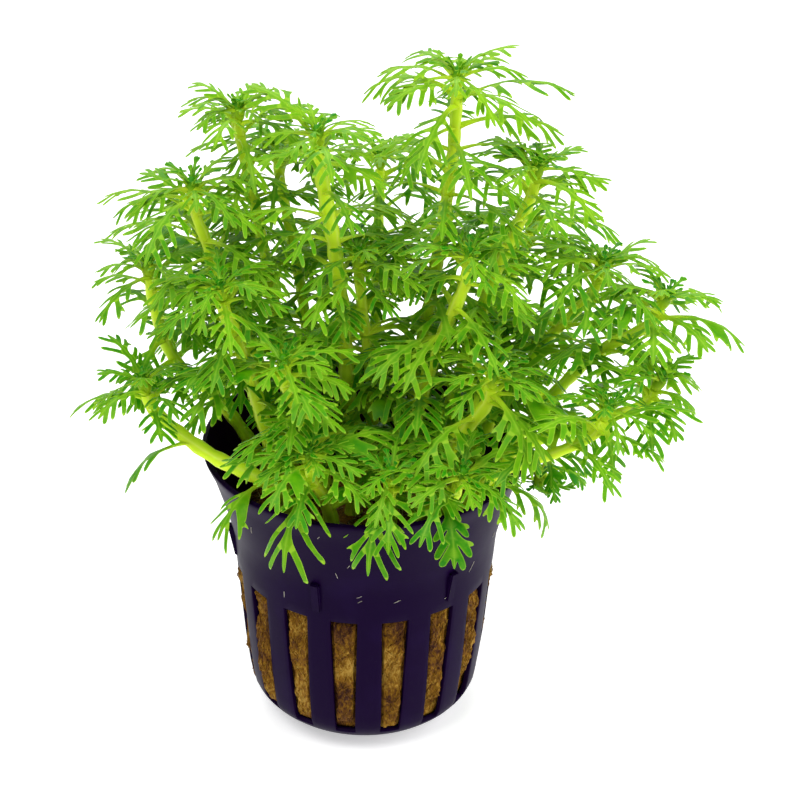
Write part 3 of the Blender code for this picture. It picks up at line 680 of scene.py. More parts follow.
SHOOTS = (
    Shoot(1, (5, 4), (14, 12, 111), 2.8, 20, 10, (0.60, 0.76, 0.88), ((13.5, 11, 94),),
          reach=((32.7, 8, 110.0), (27.3, 2, 107.3), (2.7, 4, 109.0))),
    Shoot(2, (-9, 6), (-21, 12, 105), 2.4, 15, 40, (0.62, 0.80), ((-19, 10, 93),),
          reach=((-30.5, 12, 104.5), (-9.4, 14, 105.0))),
    Shoot(3, (-2, 1), (-8, 2, 105), 3.2, 16, 70, (0.66, 0.82), ((-4, 2, 78),),
          reach=((0.8, 0, 101.5), (-17.4, -2, 101.5))),
    Shoot(4, (-7, 10), (-15, 18, 96), 2.4, 16, 20, (0.74,)),
    Shoot(5, (-13, 1), (-28, 4, 95), 2.4, 18, 100, (0.66, 0.82), ((-26, 4, 86),),
          reach=((-40.8, 2, 89.5), (-37.5, 7, 95.5)), leafy=0.6),
    Shoot(6, (-12, -4), (-23, -8, 83), 2.8, 17, 60, (0.70,), ((-20.5, -6, 74),),
          reach=((-12.3, -12, 81.0), (-31.0, -16, 76.8))),
    Shoot(7, (-5, -7), (-13, -14, 73), 2.8, 17, 80, (0.68,),
          reach=((-26.4, -17, 68.0), (-2.8, -18, 69.0))),
    Shoot(8, (-11, -9), (-36, -6, 65), 3.0, 14, 18, (),
          ((-12, -13, 47), (-16, -16, 53), (-23, -15, 55.5), (-29, -11, 57.5)),
          reach=((-47.6, -8, 59.5), (-43.5, 0, 70.0)),
          sides=((0.42, (-26.0, -22, 48.0), 80), (0.74, (-38.9, -13, 49.5), 70)),
          side_kinds=(LeafKind.FINGERED, LeafKind.BROAD), leafy=0.15),
    Shoot(9, (-4, -14), (-9, -22, 61), 2.4, 15, 30, (),
          sides=((0.80, (-12.6, -32.5, 46.0), 130),), side_kinds=(LeafKind.FINGERED,)),
    Shoot(10, (9, 0), (27, 8, 97), 2.8, 17, 50, (0.64, 0.80), ((19, 2, 78),),
          reach=((38.7, 6, 95.5), (36.2, -2, 92.0))),
    Shoot(11, (13, 1), (38, 4, 82), 2.4, 18, 15, (0.74,), reach=((46.3, 8, 85.0),), leafy=0.5),
    Shoot(12, (4, -3), (16, -4, 87), 2.8, 18, 90, (0.52, 0.74),
          reach=((27.7, -7, 83.5), (4.9, -8, 83.5))),
    Shoot(13, (14, -3), (48, 0, 78), 2.6, 18, 5, (0.72,), ((35, -2, 68.5),),
          reach=((61.6, -2, 70.5), (54.7, -8, 72.5)), leafy=0.3),
    Shoot(14, (8, -9), (20, -14, 71), 3.0, 18, 45, (0.66,),
          reach=((35.5, -22, 63.0), (27.0, -28, 62.5))),
    Shoot(15, (14, -8), (47, -9, 68), 2.4, 15, 25, (0.62,), ((22, -9, 54), (31, -9.5, 58.5)),
          reach=((53.0, -5, 70.5), (53.0, -11, 63.0), (49.5, -16, 60.5)), leafy=0.2),
    Shoot(16, (11, -13), (38, -17, 67), 2.4, 15, 75, (), ((19, -15.5, 54), (28, -17, 58)),
          reach=((39.0, -22, 56.6),), sides=((0.42, (28.1, -20, 43.5), 110),),
          side_kinds=(LeafKind.OUTER,), leafy=0.4),
    Shoot(17, (14, 4), (30, 6, 40), 1.8, 9, 0, (),
          ((20, 5.5, 55), (25, 6, 59), (31, 6.5, 57), (32, 6.5, 46)), lean=1.0),
    Shoot(18, (1, 6), (-1.5, 2, 84), 2.4, 17, 30, (0.74,), ((1, 3, 60),)),
    Shoot(19, (-14, 6), (-36, 8, 79), 2.6, 16, 110, (0.66,), ((-24, 7, 54.5), (-33, 8, 61)),
          reach=((-45.2, 8, 76.0), (-44.5, 0, 74.5)), leafy=0.4),
    Shoot(20, (1, -14), (4, -23, 58), 2.2, 14, 55, (),
          sides=((0.80, (0.5, -32.5, 45.5), 130),), side_kinds=(LeafKind.FINGERED,)),
    Shoot(21, (5.5, -14.5), (15, -23, 58), 2.2, 15, 35, (), ((9, -18, 49),),
          sides=((0.76, (14.0, -31.0, 46.0), 130),), side_kinds=(LeafKind.BROAD,)),
    Shoot(22, (-12, 12), (-29, 25, 79), 2.4, 18, 85, (0.66,)),
    Shoot(23, (1, 14), (2, 28, 90), 2.4, 18, 15, (0.72,)),
    Shoot(24, (11, 10), (28, 25, 80), 2.4, 18, 95, (0.66,)),
)


class SolidPoints:
    """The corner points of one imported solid."""

    def __init__(self, node: str) -> None:
        """Read the corners of a node's mesh.

        Args:
            node: the solid's node name.
        """
        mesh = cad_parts[node].data
        self.tree = KDTree(len(mesh.vertices))
        for vertex in mesh.vertices:
            self.tree.insert(vertex.co / MM, vertex.index)
        self.tree.balance()

    def grown(self, leaf: LeafPlace, slack: float = 0.02) -> LeafPlace | None:
        """Find the leaf that the solid has in place of a planned one.

        Args:
            leaf: the planned leaf.
            slack: how far its tip may lie from a corner of the solid.

        Returns:
            The leaf as the solid has it, or None.
        """
        for turn, lift, scale in TRIES:
            candidate = leaf.changed(turn, lift, scale)
            if self.tree.find(candidate.tip())[2] < slack:
                return candidate
        return None


def linked(name: str, mesh: bpy.types.Mesh) -> bpy.types.Object:
    """Link a new object to the scene.

    Args:
        name: the object's name.
        mesh: its mesh.

    Returns:
        The object.
    """
    piece = bpy.data.objects.new(name, mesh)
    bpy.context.scene.collection.objects.link(piece)
    return piece


def ring_faces(rings: int, sides: int) -> list[Face]:
    """List the faces of a closed shape that is a stack of rings.

    Args:
        rings: how many rings it has.
        sides: how many corners a ring has.

    Returns:
        The faces between the rings, and then the two end faces.
    """
    faces = []
    for near in range(0, (rings - 1) * sides, sides):
        far = near + sides
        for i in range(sides):
            step = (i + 1) % sides
            faces.append((near + i, near + step, far + step, far + i))
    faces.append(tuple(range(sides))[::-1])
    faces.append(tuple(range((rings - 1) * sides, rings * sides)))
    return faces


def tube(points: list[Vector], radii: list[float], sides: int) -> tuple[np.ndarray, list[Face]]:
    """Make a closed tube along a path.

    Args:
        points: the middle of each ring.
        radii: the radius of each ring.
        sides: how many corners a ring has.

    Returns:
        The corners and the faces.
    """
    rings = []
    turn = np.arange(sides) * math.tau / sides
    across = None
    for k, point in enumerate(points):
        ahead = points[min(k + 1, len(points) - 1)] - points[max(k - 1, 0)]
        if across is None:
            across = ahead.orthogonal()
        across = (across - ahead * across.dot(ahead) / ahead.length_squared).normalized()
        other = ahead.cross(across).normalized()
        rings.append(np.array(point) + radii[k] * (np.outer(np.cos(turn), across)
                                                   + np.outer(np.sin(turn), other)))
    return np.concatenate(rings), ring_faces(len(points), sides)


class Tissue:
    """A mesh that grows shape by shape, with the growth colour that living tissue reads."""

    SHARP_ANGLE = 48.0

    def __init__(self) -> None:
        """Start with nothing."""
        self.points: list[np.ndarray] = []
        self.faces: list[Face] = []
        self.skins: list[int] = []
        self.growth: list[np.ndarray] = []
        self.count = 0

    def add(self, points: np.ndarray, faces: list[Face], growth: np.ndarray | None = None,
            skin: int = 0) -> None:
        """Add a closed shape.

        Args:
            points: its corners.
            faces: its faces, by corner.
            growth: edge, vein, share and tone at each corner, or None where the
                material doesn't read them.
            skin: the material slot of its faces.
        """
        self.points.append(points)
        self.growth.append(np.zeros((len(points), 4)) if growth is None else growth)
        shift = self.count
        self.faces += [tuple(corner + shift for corner in face) for face in faces]
        self.skins += [skin] * len(faces)
        self.count += len(points)

    def build(self, name: str, materials: list[bpy.types.Material]) -> bpy.types.Object:
        """Make the object.

        Args:
            name: the piece's name.
            materials: its material slots.

        Returns:
            The object, linked to the scene.
        """
        mesh = bpy.data.meshes.new(name)
        mesh.from_pydata((np.concatenate(self.points) * MM).tolist(), [], self.faces)
        for material in materials:
            mesh.materials.append(material)
        mesh.polygons.foreach_set("material_index", self.skins)
        layer = mesh.color_attributes.new("growth", "FLOAT_COLOR", "POINT")
        layer.data.foreach_set("color", np.concatenate(self.growth).ravel())
        mesh.shade_smooth()
        mesh.set_sharp_from_angle(angle=math.radians(self.SHARP_ANGLE))
        mesh.update()
        return linked(name, mesh)


class Blade:
    """The flat outline of one divided leaf, and the closed blade made from it.

    A flat point is a complex number, with its real part along the midrib. STALK, LOBE_START
    and LOBE_END pair a share of the length with a share of the half width, TIP pairs a share
    of the length with a half width, and LOBE_VEIN holds shares of a lobe's length. CURL and
    FORK_TURN are in radians, and FEWER_PAIRS is how often a side has one lobe fewer.
    """

    STALK = ((0.0, 2.2), (0.07, 1.5), (0.18, 1.0))
    TIP = ((0.91, 0.36), (0.97, 0.22))
    LOBE_START = (0.42, 0.95)
    LOBE_END = ((0.80, 0.92), (0.97, 0.55), (1.03, -0.1), (0.92, -0.75), (0.72, -1.0),
                (0.46, -0.95))
    LOBE_VEIN = (0.38, 0.62, 0.86)
    CURL = 0.50
    FORK_TURN = 0.55
    FORK_REACH = 0.27
    FEWER_PAIRS = 0.3
    PLACE_CHANGE = 0.018
    TURN_CHANGE = 8.0
    REACH_CHANGE = (0.86, 1.12)
    FIRST_REACH = 0.78
    HALF_CHANGE = (0.9, 1.1)
    RIM_HALF = 0.06
    BODY_HALF = 0.05
    STALK_HALF = 0.30
    GROOVE = 0.05
    KEEL = 0.06
    CUP = (0.04, 0.20)
    ARCH = 0.060
    RIPPLE = 0.09
    TILT = 0.22

    def __init__(self, form: BladeForm, length: float, chance: random.Random) -> None:
        """Draw the outline.

        Args:
            form: how the leaf is divided.
            length: the leaf's length.
            chance: the leaf's own source of variety.
        """
        self.form = form
        self.length = length
        self.chance = chance
        self.scale = 0.55 + 0.45 * length / form.full_length
        self.veins: list[list[complex]] = []
        sides = [self.side(hand) for hand in (1, -1)]
        tip = [complex(length * share, half) for share, half in self.TIP]
        outline = sides[0] + tip + [complex(length, 0.0)]
        outline += [p.conjugate() for p in tip[::-1]] + sides[1][::-1]
        for _ in range(form.rounds):
            rest = outline[1:] + outline[:1]
            outline = [p for a, b in zip(outline, rest) for p in (a * 0.75 + b * 0.25,
                                                                  a * 0.25 + b * 0.75)]
        self.outline = self.thinned(outline)
        steps = max(4, int(length / 1.5))
        self.veins.insert(0, [complex(0.4 + (length - 0.9) * k / steps, 0.0)
                              for k in range(steps + 1)])

    @staticmethod
    def thinned(outline: list[complex], slack: float = 0.014) -> list[complex]:
        """Leave out the points that lie almost on the line past them.

        Args:
            outline: the points round the leaf.
            slack: how far from the line a left out point may lie.

        Returns:
            The points that are kept.
        """
        kept = [outline[0]]
        for point, following in zip(outline[1:], outline[2:] + outline[:1]):
            chord = following - kept[-1]
            off = ((point - kept[-1]) * chord.conjugate()).imag / abs(chord)
            if abs(off) > slack:
                kept.append(point)
        return kept

    def side(self, hand: int) -> list[complex]:
        """Draw one side of the leaf from its foot to its tip.

        Args:
            hand: 1 for the left side, -1 for the right.

        Returns:
            The corner points of the outline there.
        """
        form, length, chance = self.form, self.length, self.chance
        stalk = form.stalk_half
        points = [complex(length * share, stalk * wide) for share, wide in self.STALK]
        points.append(complex(length * form.span[0] * 0.80, stalk * 1.1))
        first_vein = len(self.veins)
        pairs = form.pairs - (form.pairs > 3 and chance.random() < self.FEWER_PAIRS)
        for index in range(pairs):
            share = index / (pairs - 1)
            place = (between(form.span, share)
                     + chance.uniform(-self.PLACE_CHANGE, self.PLACE_CHANGE))
            angle = math.radians(between(form.spread, share)
                                 + chance.uniform(-self.TURN_CHANGE, self.TURN_CHANGE))
            reach = length * between(form.reach, share)
            reach *= (chance.uniform(*self.REACH_CHANGE)
                      * (self.FIRST_REACH if index == 0 else 1.0))
            half = form.lobe_half * self.scale * chance.uniform(*self.HALF_CHANGE)
            points += self.lobe(place * length, angle, max(reach, 3.0 * half), half,
                                share < 1.0 and chance.random() < form.forked)
        if hand == -1:
            points = [p.conjugate() for p in points]
            self.veins[first_vein:] = [[p.conjugate() for p in vein]
                                       for vein in self.veins[first_vein:]]
        return points

    def lobe(self, place: float, angle: float, reach: float, half: float,
             forked: bool) -> list[complex]:
        """Draw one sickle-shaped lobe.

        Args:
            place: how far along the midrib it grows.
            angle: the way it points at its root, in radians from the midrib.
            reach: its length from the midrib.
            half: its half width.
            forked: whether it carries a side finger.

        Returns:
            The corner points round the lobe.
        """
        def way(share: float) -> complex:
            """Return the lobe's direction at a share of its length."""
            turned = angle - self.CURL * share
            return complex(math.cos(turned), math.sin(turned))

        def axis(share: float) -> complex:
            """Return the middle of the lobe at a share of its length."""
            return place + reach * share * way(0.5 * share)

        def off(share: float, out: float) -> complex:
            """Return a point beside the middle, out by a share of the half width."""
            return axis(share) + way(share) * 1j * out * half

        edge = self.form.rachis_half * self.scale * (1.15 - 0.5 * place / self.length)
        root, wide = place + edge / math.tan(angle), half / math.sin(angle)
        points = [complex(root - 1.25 * wide, edge), off(*self.LOBE_START)]
        if forked:
            heading = way(0.5) * complex(math.cos(self.FORK_TURN), math.sin(self.FORK_TURN))
            start, size = off(0.55, 1.0), self.FORK_REACH * reach
            points += [start + heading * size * 0.55 + heading * 0.8j * half,
                       start + heading * size, start + heading * size * 0.55
                       - heading * 0.5j * half, off(0.70, 0.9)]
        points += [off(share, out) for share, out in self.LOBE_END]
        points.append(complex(root + 1.3 * wide, edge * 0.95))
        self.veins.append([axis(share) for share in self.LOBE_VEIN])
        return points

    def fill(self) -> tuple[np.ndarray, list[Face], np.ndarray]:
        """Fill the outline with triangles.

        Returns:
            The flat points, the triangles, and each point's vein: 1 on the midrib.
        """
        rim = len(self.outline)
        middle = rim + len(self.veins[0])
        flat = [Vector((p.real, p.imag)) for p in self.outline]
        edges = []
        for vein in self.veins:
            first = len(flat)
            flat += [Vector((p.real, p.imag)) for p in vein]
            edges += [(first + k, first + k + 1) for k in range(len(vein) - 1)]
        found = delaunay_2d_cdt(flat, edges, [list(range(rim))], 1, 1e-4)
        made, triangles, sources = found[0], found[2], found[3]
        used = sorted({corner for face in triangles for corner in face})
        order = {corner: k for k, corner in enumerate(used)}
        points = np.array([(made[k].x, made[k].y) for k in used])
        faces = [tuple(order[corner] for corner in face) for face in triangles]
        vein = np.array([max((1.0 if rim <= source < middle else 0.35 if source >= middle
                              else 0.0) for source in sources[k] or (0,)) for k in used])
        return points, faces, vein

    def grow(self, tissue: Tissue, leaf: LeafPlace, tone: float, skin: int) -> None:
        """Grow the blade along a leaf's arch, into the mesh.

        Args:
            tissue: the mesh that takes the blade.
            leaf: the leaf's place.
            tone: the leaf's tone, which holds its painted shade.
            skin: the material slot of the blade.
        """
        points, faces, vein = self.fill()
        edges = dict.fromkeys((start, end) for face in faces
                              for start, end in zip(face, face[1:] + face[:1]))
        border = [edge for edge in edges if (edge[1], edge[0]) not in edges]
        rim = np.zeros(len(points))
        rim[[corner for edge in border for corner in edge]] = 1.0
        along, across = points[:, 0], points[:, 1]
        stalk = np.clip(1.0 - along / (self.form.span[0] * self.length), 0.0, 1.0)
        thick = (self.RIM_HALF + self.BODY_HALF * (1.0 - rim)
                 + self.STALK_HALF * stalk * (1.0 - 0.6 * rim))
        wave = self.chance.uniform(0.0, math.tau)
        cup = self.chance.uniform(*self.CUP)
        height = (-cup * np.abs(across) - self.ARCH * across ** 2
                  + self.RIPPLE * np.abs(across) * np.sin(0.9 * along + wave)
                  + self.TILT * across * math.sin(wave))
        shares = along / self.length
        middle, side, normals = leaf.along(shares)
        spine = middle + np.outer(across, side) + normals * height[:, None]
        upper = spine + normals * (thick - self.GROOVE * vein * (1.0 - stalk))[:, None]
        lower = spine - normals * (thick + self.KEEL * vein)[:, None]
        count = len(points)
        solid = list(faces) + [tuple(corner + count for corner in face[::-1]) for face in faces]
        solid += [(end, start, start + count, end + count) for start, end in border]
        growth = np.stack([rim, vein, np.clip(shares, 0.0, 1.0), np.full(count, tone)], axis=1)
        tissue.add(np.concatenate([upper, lower]), solid, np.concatenate([growth, growth]), skin)


@dataclass
class ShootPieces:
    """The fine crown and stem of one shoot, in place of their solids.

    Each heart whorl has a count of leaves, the count on a sparse shoot, the leaves' rise,
    their bend, a size as a share of the shoot's leaf, and a kind. Stalk_tone is the tone at
    the stalk's foot and what it gains up to its top.
    """

    shoot: Shoot
    materials: list[bpy.types.Material]
    stem_sides: int = 12
    ring_step: float = 1.4
    node_swell: float = 0.10
    stalk_half: float = 0.46
    stalk_taper: float = 0.22
    stalk_tone: tuple[float, float] = (0.35, 0.4)
    bud_radius: float = 1.2
    bud_steps: int = 8
    # Painted shade on the bud, deep inside the crown.
    shaded_bud_tone: float = 0.12
    leaf_step: float = 4.4
    first_leaf: float = 2.5
    lowest_leaf: float = 47.0
    rim_height: float = 54.0
    rim_span: tuple[float, float] = (20.0, 31.0)
    broad_below: float = 78.0
    foot_depth: dict[LeafKind, float] = field(
        default_factory=lambda: {LeafKind.OUTER: 4.5, LeafKind.INNER: 1.5})
    more_bend: float = 24.0
    # Painted shade: the tones of leaves whose feet stand lowest and highest, and those two
    # heights.
    height_shade_tones: tuple[float, float] = (0.24, 0.58)
    height_shade_span: tuple[float, float] = (50.0, 110.0)
    tone_change: float = 0.20
    # Painted shade on the young leaves in the crown's crowded heart.
    young_heart_shade: float = 0.32
    sparse_leafy: float = 0.5
    hearts: tuple[tuple[int, int, float, float, float, LeafKind], ...] = (
        (4, 2, 24.0, 60.0, 0.72, LeafKind.INNER), (5, 5, 56.0, 55.0, 0.36, LeafKind.YOUNG),
        (5, 5, 74.0, 35.0, 0.21, LeafKind.YOUNG))
    stem_skin: int = 0
    leaf_skin: int = 1
    chance: random.Random = field(init=False)

    def __post_init__(self) -> None:
        """Give the shoot its own source of variety."""
        self.chance = random.Random(9100 + self.shoot.number)

    def build(self) -> list[bpy.types.Object]:
        """Build both pieces.

        Returns:
            The crown piece and the stem piece.
        """
        number = self.shoot.number
        crown_node, stem_node = f"crown_{number:02d}", f"stem_{number:02d}"
        crown, stem = Tissue(), Tissue()
        self.bud(crown)
        missed = self.leaves(crown, SolidPoints(crown_node), self.shoot.crown_leaves(), True)
        for leaf in self.heart_leaves():
            self.leaf(crown, leaf)
        self.stalk(stem)
        missed += self.leaves(stem, SolidPoints(stem_node), self.shoot.stem_leaves(), False)
        for leaf in self.filling_leaves():
            self.leaf(stem, leaf)
        pieces = []
        for tissue, node, slot in ((crown, crown_node, "leaf"), (stem, stem_node, "stem")):
            piece = tissue.build("fine_" + node, self.materials)
            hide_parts(node)
            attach(piece, "root")
            pieces.append(piece)
        LOG.info("shoot %d: %d faces, %d leaves without a solid", number,
                 len(crown.faces) + len(stem.faces), missed)
        return pieces

    def leaves(self, tissue: Tissue, solid: SolidPoints, places: list[LeafPlace],
               lowered: bool) -> int:
        """Grow the leaves that the solid has.

        Args:
            tissue: the mesh that takes them.
            solid: the solid's corners.
            places: every leaf that the shoot may have grown.
            lowered: whether their feet stand lower on the stem than the crown's centre.

        Returns:
            How many of them the solid doesn't have.
        """
        missed = 0
        for place in places:
            found = solid.grown(place)
            if found is None:
                missed += 1
                continue
            if lowered:
                deep = self.foot_depth[place.kind]
                drop = self.shoot.axis() * deep * self.chance.uniform(0.4, 1.0)
                found = found.rooted(found.base - drop, self.more_bend)
            self.leaf(tissue, found)
        return missed

    def leaf(self, tissue: Tissue, leaf: LeafPlace) -> None:
        """Grow one leaf, with painted shade that makes it darker the lower it stands.

        Args:
            tissue: the mesh that takes it.
            leaf: the leaf's place.
        """
        low, high = self.height_shade_span
        # Painted shade: the lower a leaf's foot stands, the darker its tone.
        tone = between(self.height_shade_tones, held((leaf.base.z - low) / (high - low)))
        tone += self.chance.uniform(-self.tone_change, self.tone_change)
        # Young leaves crowd the crown's heart and take more painted shade.
        if leaf.kind is LeafKind.YOUNG:
            tone -= self.young_heart_shade
        if leaf.kind is LeafKind.OUTER and leaf.base.z < self.broad_below:
            leaf = replace(leaf, kind=LeafKind.LOWER)
        Blade(BLADES[leaf.kind], leaf.length, self.chance).grow(
            tissue, leaf, tone, self.leaf_skin)

    def heart_leaves(self) -> list[LeafPlace]:
        """Plan the crowded leaves in the middle of the crown.

        Returns:
            The leaves, whorl by whorl.
        """
        shoot, chance = self.shoot, self.chance
        crown, lean = Vector(shoot.crown), shoot.turned()
        leaves = []
        for whorl, (full, sparse, rise, bend, size, kind) in enumerate(self.hearts):
            count = full if shoot.leafy > self.sparse_leafy else sparse
            for index in range(count):
                azimuth = (shoot.turn + 18.0 + 27.0 * whorl + 360.0 * index / count
                           + chance.uniform(-10.0, 10.0))
                up = rise + chance.uniform(-7.0, 7.0)
                length = shoot.leaf * size * chance.uniform(0.9, 1.1)
                leaves.append(LeafPlace(crown, azimuth, up, up - bend, length, kind, lean))
        return leaves

    def filling_leaves(self) -> list[LeafPlace]:
        """Plan the leaves that crowd the stem between its whorls.

        Returns:
            The leaves that have room, from the top down.
        """
        shoot, chance = self.shoot, self.chance
        length = shoot.length()
        leaves = []
        below, order = self.first_leaf, 0
        while below < length * shoot.leafy:
            point = shoot.place(1.0 - below / length)
            for index in range(2):
                azimuth = (shoot.turn + 65.0 + GOLDEN_ANGLE * order + 180.0 * index
                           + chance.uniform(-20.0, 20.0))
                rise = chance.uniform(12.0, 34.0)
                droop = rise - chance.uniform(50.0, 80.0)
                size = shoot.leaf * chance.uniform(0.80, 1.06)
                leaf = LeafPlace(point, azimuth, rise, droop, size, LeafKind.OUTER)
                if self.has_room(leaf):
                    leaves.append(leaf)
            below += self.leaf_step * chance.uniform(0.8, 1.2)
            order += 1
        return leaves

    def has_room(self, leaf: LeafPlace) -> bool:
        """Tell whether a leaf stays above the wool, off the pot and within the solids' reach.

        Args:
            leaf: the leaf's place.

        Returns:
            Whether it may grow there.
        """
        low, high = CAD_BOX
        near, far = self.rim_span
        for x, y, z in leaf.along(np.linspace(0.0, 1.1, 12))[0]:
            if z < self.lowest_leaf or (z < self.rim_height and near < math.hypot(x, y) < far):
                return False
            if not (low.x < x * MM < high.x and low.y < y * MM < high.y and z * MM < high.z):
                return False
        return True

    def bud(self, tissue: Tissue) -> None:
        """Add the small bud that the crown's leaves grow from, dark with painted shade and pale
        at its foot.

        Args:
            tissue: the mesh that takes it.
        """
        axis, crown = self.shoot.axis(), Vector(self.shoot.crown)
        points, radii = [], []
        for k in range(self.bud_steps + 1):
            angle = math.pi * (0.04 + 0.92 * k / self.bud_steps)
            points.append(crown - axis * (0.5 * BUD_HEIGHT + GAP) * math.cos(angle))
            radii.append(self.bud_radius * math.sin(angle))
        shares = np.repeat(np.linspace(0.04, 0.50, self.bud_steps + 1), self.stem_sides)
        zeros = np.zeros_like(shares)
        growth = np.stack([zeros, zeros, shares, zeros + self.shaded_bud_tone], axis=1)
        tissue.add(*tube(points, radii, self.stem_sides), growth, self.leaf_skin)

    def stalk(self, tissue: Tissue) -> None:
        """Add the stem's round stalk, a little swollen where leaves grow.

        Args:
            tissue: the mesh that takes it.
        """
        shoot = self.shoot
        length = shoot.length()
        rings = max(8, int(length / self.ring_step))
        points, radii = [], []
        for k in range(rings + 1):
            share = k / rings
            swell = 1.0 + self.node_swell * math.cos(math.tau * share * length / self.leaf_step)
            points.append(shoot.place(share))
            radii.append(self.stalk_half * shoot.thick * (1.0 - self.stalk_taper * share)
                         * swell)
        shares = np.repeat(np.linspace(0.0, 1.0, rings + 1), self.stem_sides)
        ridge = np.tile(np.arange(self.stem_sides) % 3 == 0, rings + 1).astype(float)
        tone = self.stalk_tone[0] + self.stalk_tone[1] * shares
        growth = np.stack([np.zeros_like(shares), ridge, shares, tone], axis=1)
        tissue.add(*tube(points, radii, self.stem_sides), growth, self.stem_skin)


@dataclass
class SlottedPot:
    """The pot: a thin moulded wall with 16 tall slots, a flared rim and six stacking ribs.

    The outline pairs a height with the outer radius there. Rows holds the heights of the
    mesh's rows of corners, and the slots start and end on two of them.
    """

    material: bpy.types.Material
    outline: tuple[tuple[float, float], ...] = (
        (51.0, 27.5), (47.5, 25.9), (41.0, 23.9), (35.5, 22.5), (14.0, 20.8), (6.0, 19.8),
        (4.2, 19.0), (2.4, 17.1), (0.0, 13.5))
    rows: tuple[float, ...] = (
        0.0, 0.25, 0.6, 1.1, 1.8, 2.7, 3.6, 4.6, 6.0, 8.0, 11.0, 14.0, 17.0, 20.0, 23.0, 26.0,
        29.0, 31.0, 33.5, 35.5, 37.5, 41.0, 43.5, 45.5, 46.8, 47.6, 48.6, 49.6, 50.4, 51.0)
    wall: float = 0.9
    bend: float = 0.9
    slots: int = 16
    first_slot: float = -99.0
    slot_top: float = 29.0
    slot_bottom: float = 4.6
    slot_widths: tuple[float, float] = (3.3, 4.6)
    ribs: int = 6
    first_rib: float = -110.7
    rib_span: tuple[float, float] = (30.6, 36.6)
    rib_width: float = 1.6
    rib_proud: tuple[float, float] = (0.3, 0.8)
    rib_sunk: float = 0.6
    rib_edge: float = 0.2
    edge: float = 0.14
    edge_from: float = 50.0
    sharp_from: float = 38.0
    wall_steps: int = 5
    slot_steps: int = 4

    def radius(self, height: float) -> float:
        """Find the outer radius, with the bends of the profile rounded.

        Args:
            height: the height above the table.

        Returns:
            The radius there.
        """
        shifts = (-1.0, -0.5, 0.0, 0.5, 1.0)
        total = 0.0
        for shift in shifts:
            level = height + shift * self.bend * min(1.0, height / 4.0)
            level = min(self.outline[0][0], max(0.0, level))
            for (top, wide), (low, narrow) in zip(self.outline, self.outline[1:]):
                if low <= level <= top:
                    total += narrow + (wide - narrow) * (level - low) / (top - low)
                    break
        return total / len(shifts)

    def half_slot(self, height: float) -> float:
        """Return half of a slot's width at a height."""
        share = (height - self.slot_bottom) / (self.slot_top - self.slot_bottom)
        return 0.5 * between(self.slot_widths, held(share))

    def beside(self, turn: float) -> float:
        """Return how far an azimuth lies from the middle of the nearest slot."""
        step = 360.0 / self.slots
        return abs((turn - self.first_slot + 0.5 * step) % step - 0.5 * step)

    def ring(self, height: float) -> list[float]:
        """Find the azimuths of a row's corners.

        Args:
            height: the row's height.

        Returns:
            For each slot, its corners and then those of the wall beside it.
        """
        half = math.degrees(self.half_slot(height) / self.radius(height))
        step = 360.0 / self.slots
        turns = []
        for slot in range(self.slots):
            middle = self.first_slot + step * slot
            turns += [middle - half + 2.0 * half * k / self.slot_steps
                      for k in range(self.slot_steps)]
            turns += [middle + half + (step - 2.0 * half) * k / self.wall_steps
                      for k in range(self.wall_steps)]
        return turns

    def build(self) -> bpy.types.Object:
        """Build the pot.

        Returns:
            The pot piece.
        """
        bm = bmesh.new()
        grid = [[bm.verts.new(polar(turn, self.radius(height), height))
                 for turn in self.ring(height)] for height in self.rows]
        across = self.slot_steps + self.wall_steps
        for k, (lower, upper) in enumerate(zip(grid, grid[1:])):
            open_row = self.slot_bottom <= self.rows[k] < self.slot_top
            for i in range(len(lower)):
                if open_row and i % across < self.slot_steps:
                    continue
                step = (i + 1) % len(lower)
                bm.faces.new((lower[i], lower[step], upper[step], upper[i]))
        centre = bm.verts.new((0.0, 0.0, 0.0))
        for i, corner in enumerate(grid[0]):
            bm.faces.new((centre, grid[0][(i + 1) % len(grid[0])], corner))
        loose = [v for v in bm.verts if not v.link_faces]
        bmesh.ops.delete(bm, geom=loose, context="VERTS")
        piece = self.thickened(bm)
        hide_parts("pot")
        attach(piece, "root")
        LOG.info("pot: %d faces", len(piece.data.polygons))
        return piece

    def thickened(self, bm: bmesh.types.BMesh) -> bpy.types.Object:
        """Give the skin its wall, soften its edges and add the ribs.

        Args:
            bm: the outer skin, in millimetres.

        Returns:
            The finished object.
        """
        bmesh.ops.recalc_face_normals(bm, faces=bm.faces)
        bmesh.ops.scale(bm, vec=(MM, MM, MM), verts=bm.verts)
        mesh = bpy.data.meshes.new("moulded_pot")
        bm.to_mesh(mesh)
        bm.free()
        piece = linked("moulded_pot", mesh)
        mesh.materials.append(self.material)
        solid = piece.modifiers.new("wall", "SOLIDIFY")
        solid.thickness = self.wall * MM
        solid.offset = -1.0
        soft = piece.modifiers.new("edges", "BEVEL")
        soft.width = self.edge * MM
        soft.segments = 2
        soft.limit_method = "ANGLE"
        soft.angle_limit = math.radians(self.edge_from)
        evaluated = piece.evaluated_get(bpy.context.evaluated_depsgraph_get())
        finished = bpy.data.meshes.new_from_object(evaluated)
        piece.modifiers.clear()
        whole = bmesh.new()
        whole.from_mesh(finished)
        self.add_ribs(whole)
        whole.to_mesh(finished)
        whole.free()
        piece.data = finished
        finished.shade_smooth()
        finished.set_sharp_from_angle(angle=math.radians(self.sharp_from))
        return piece

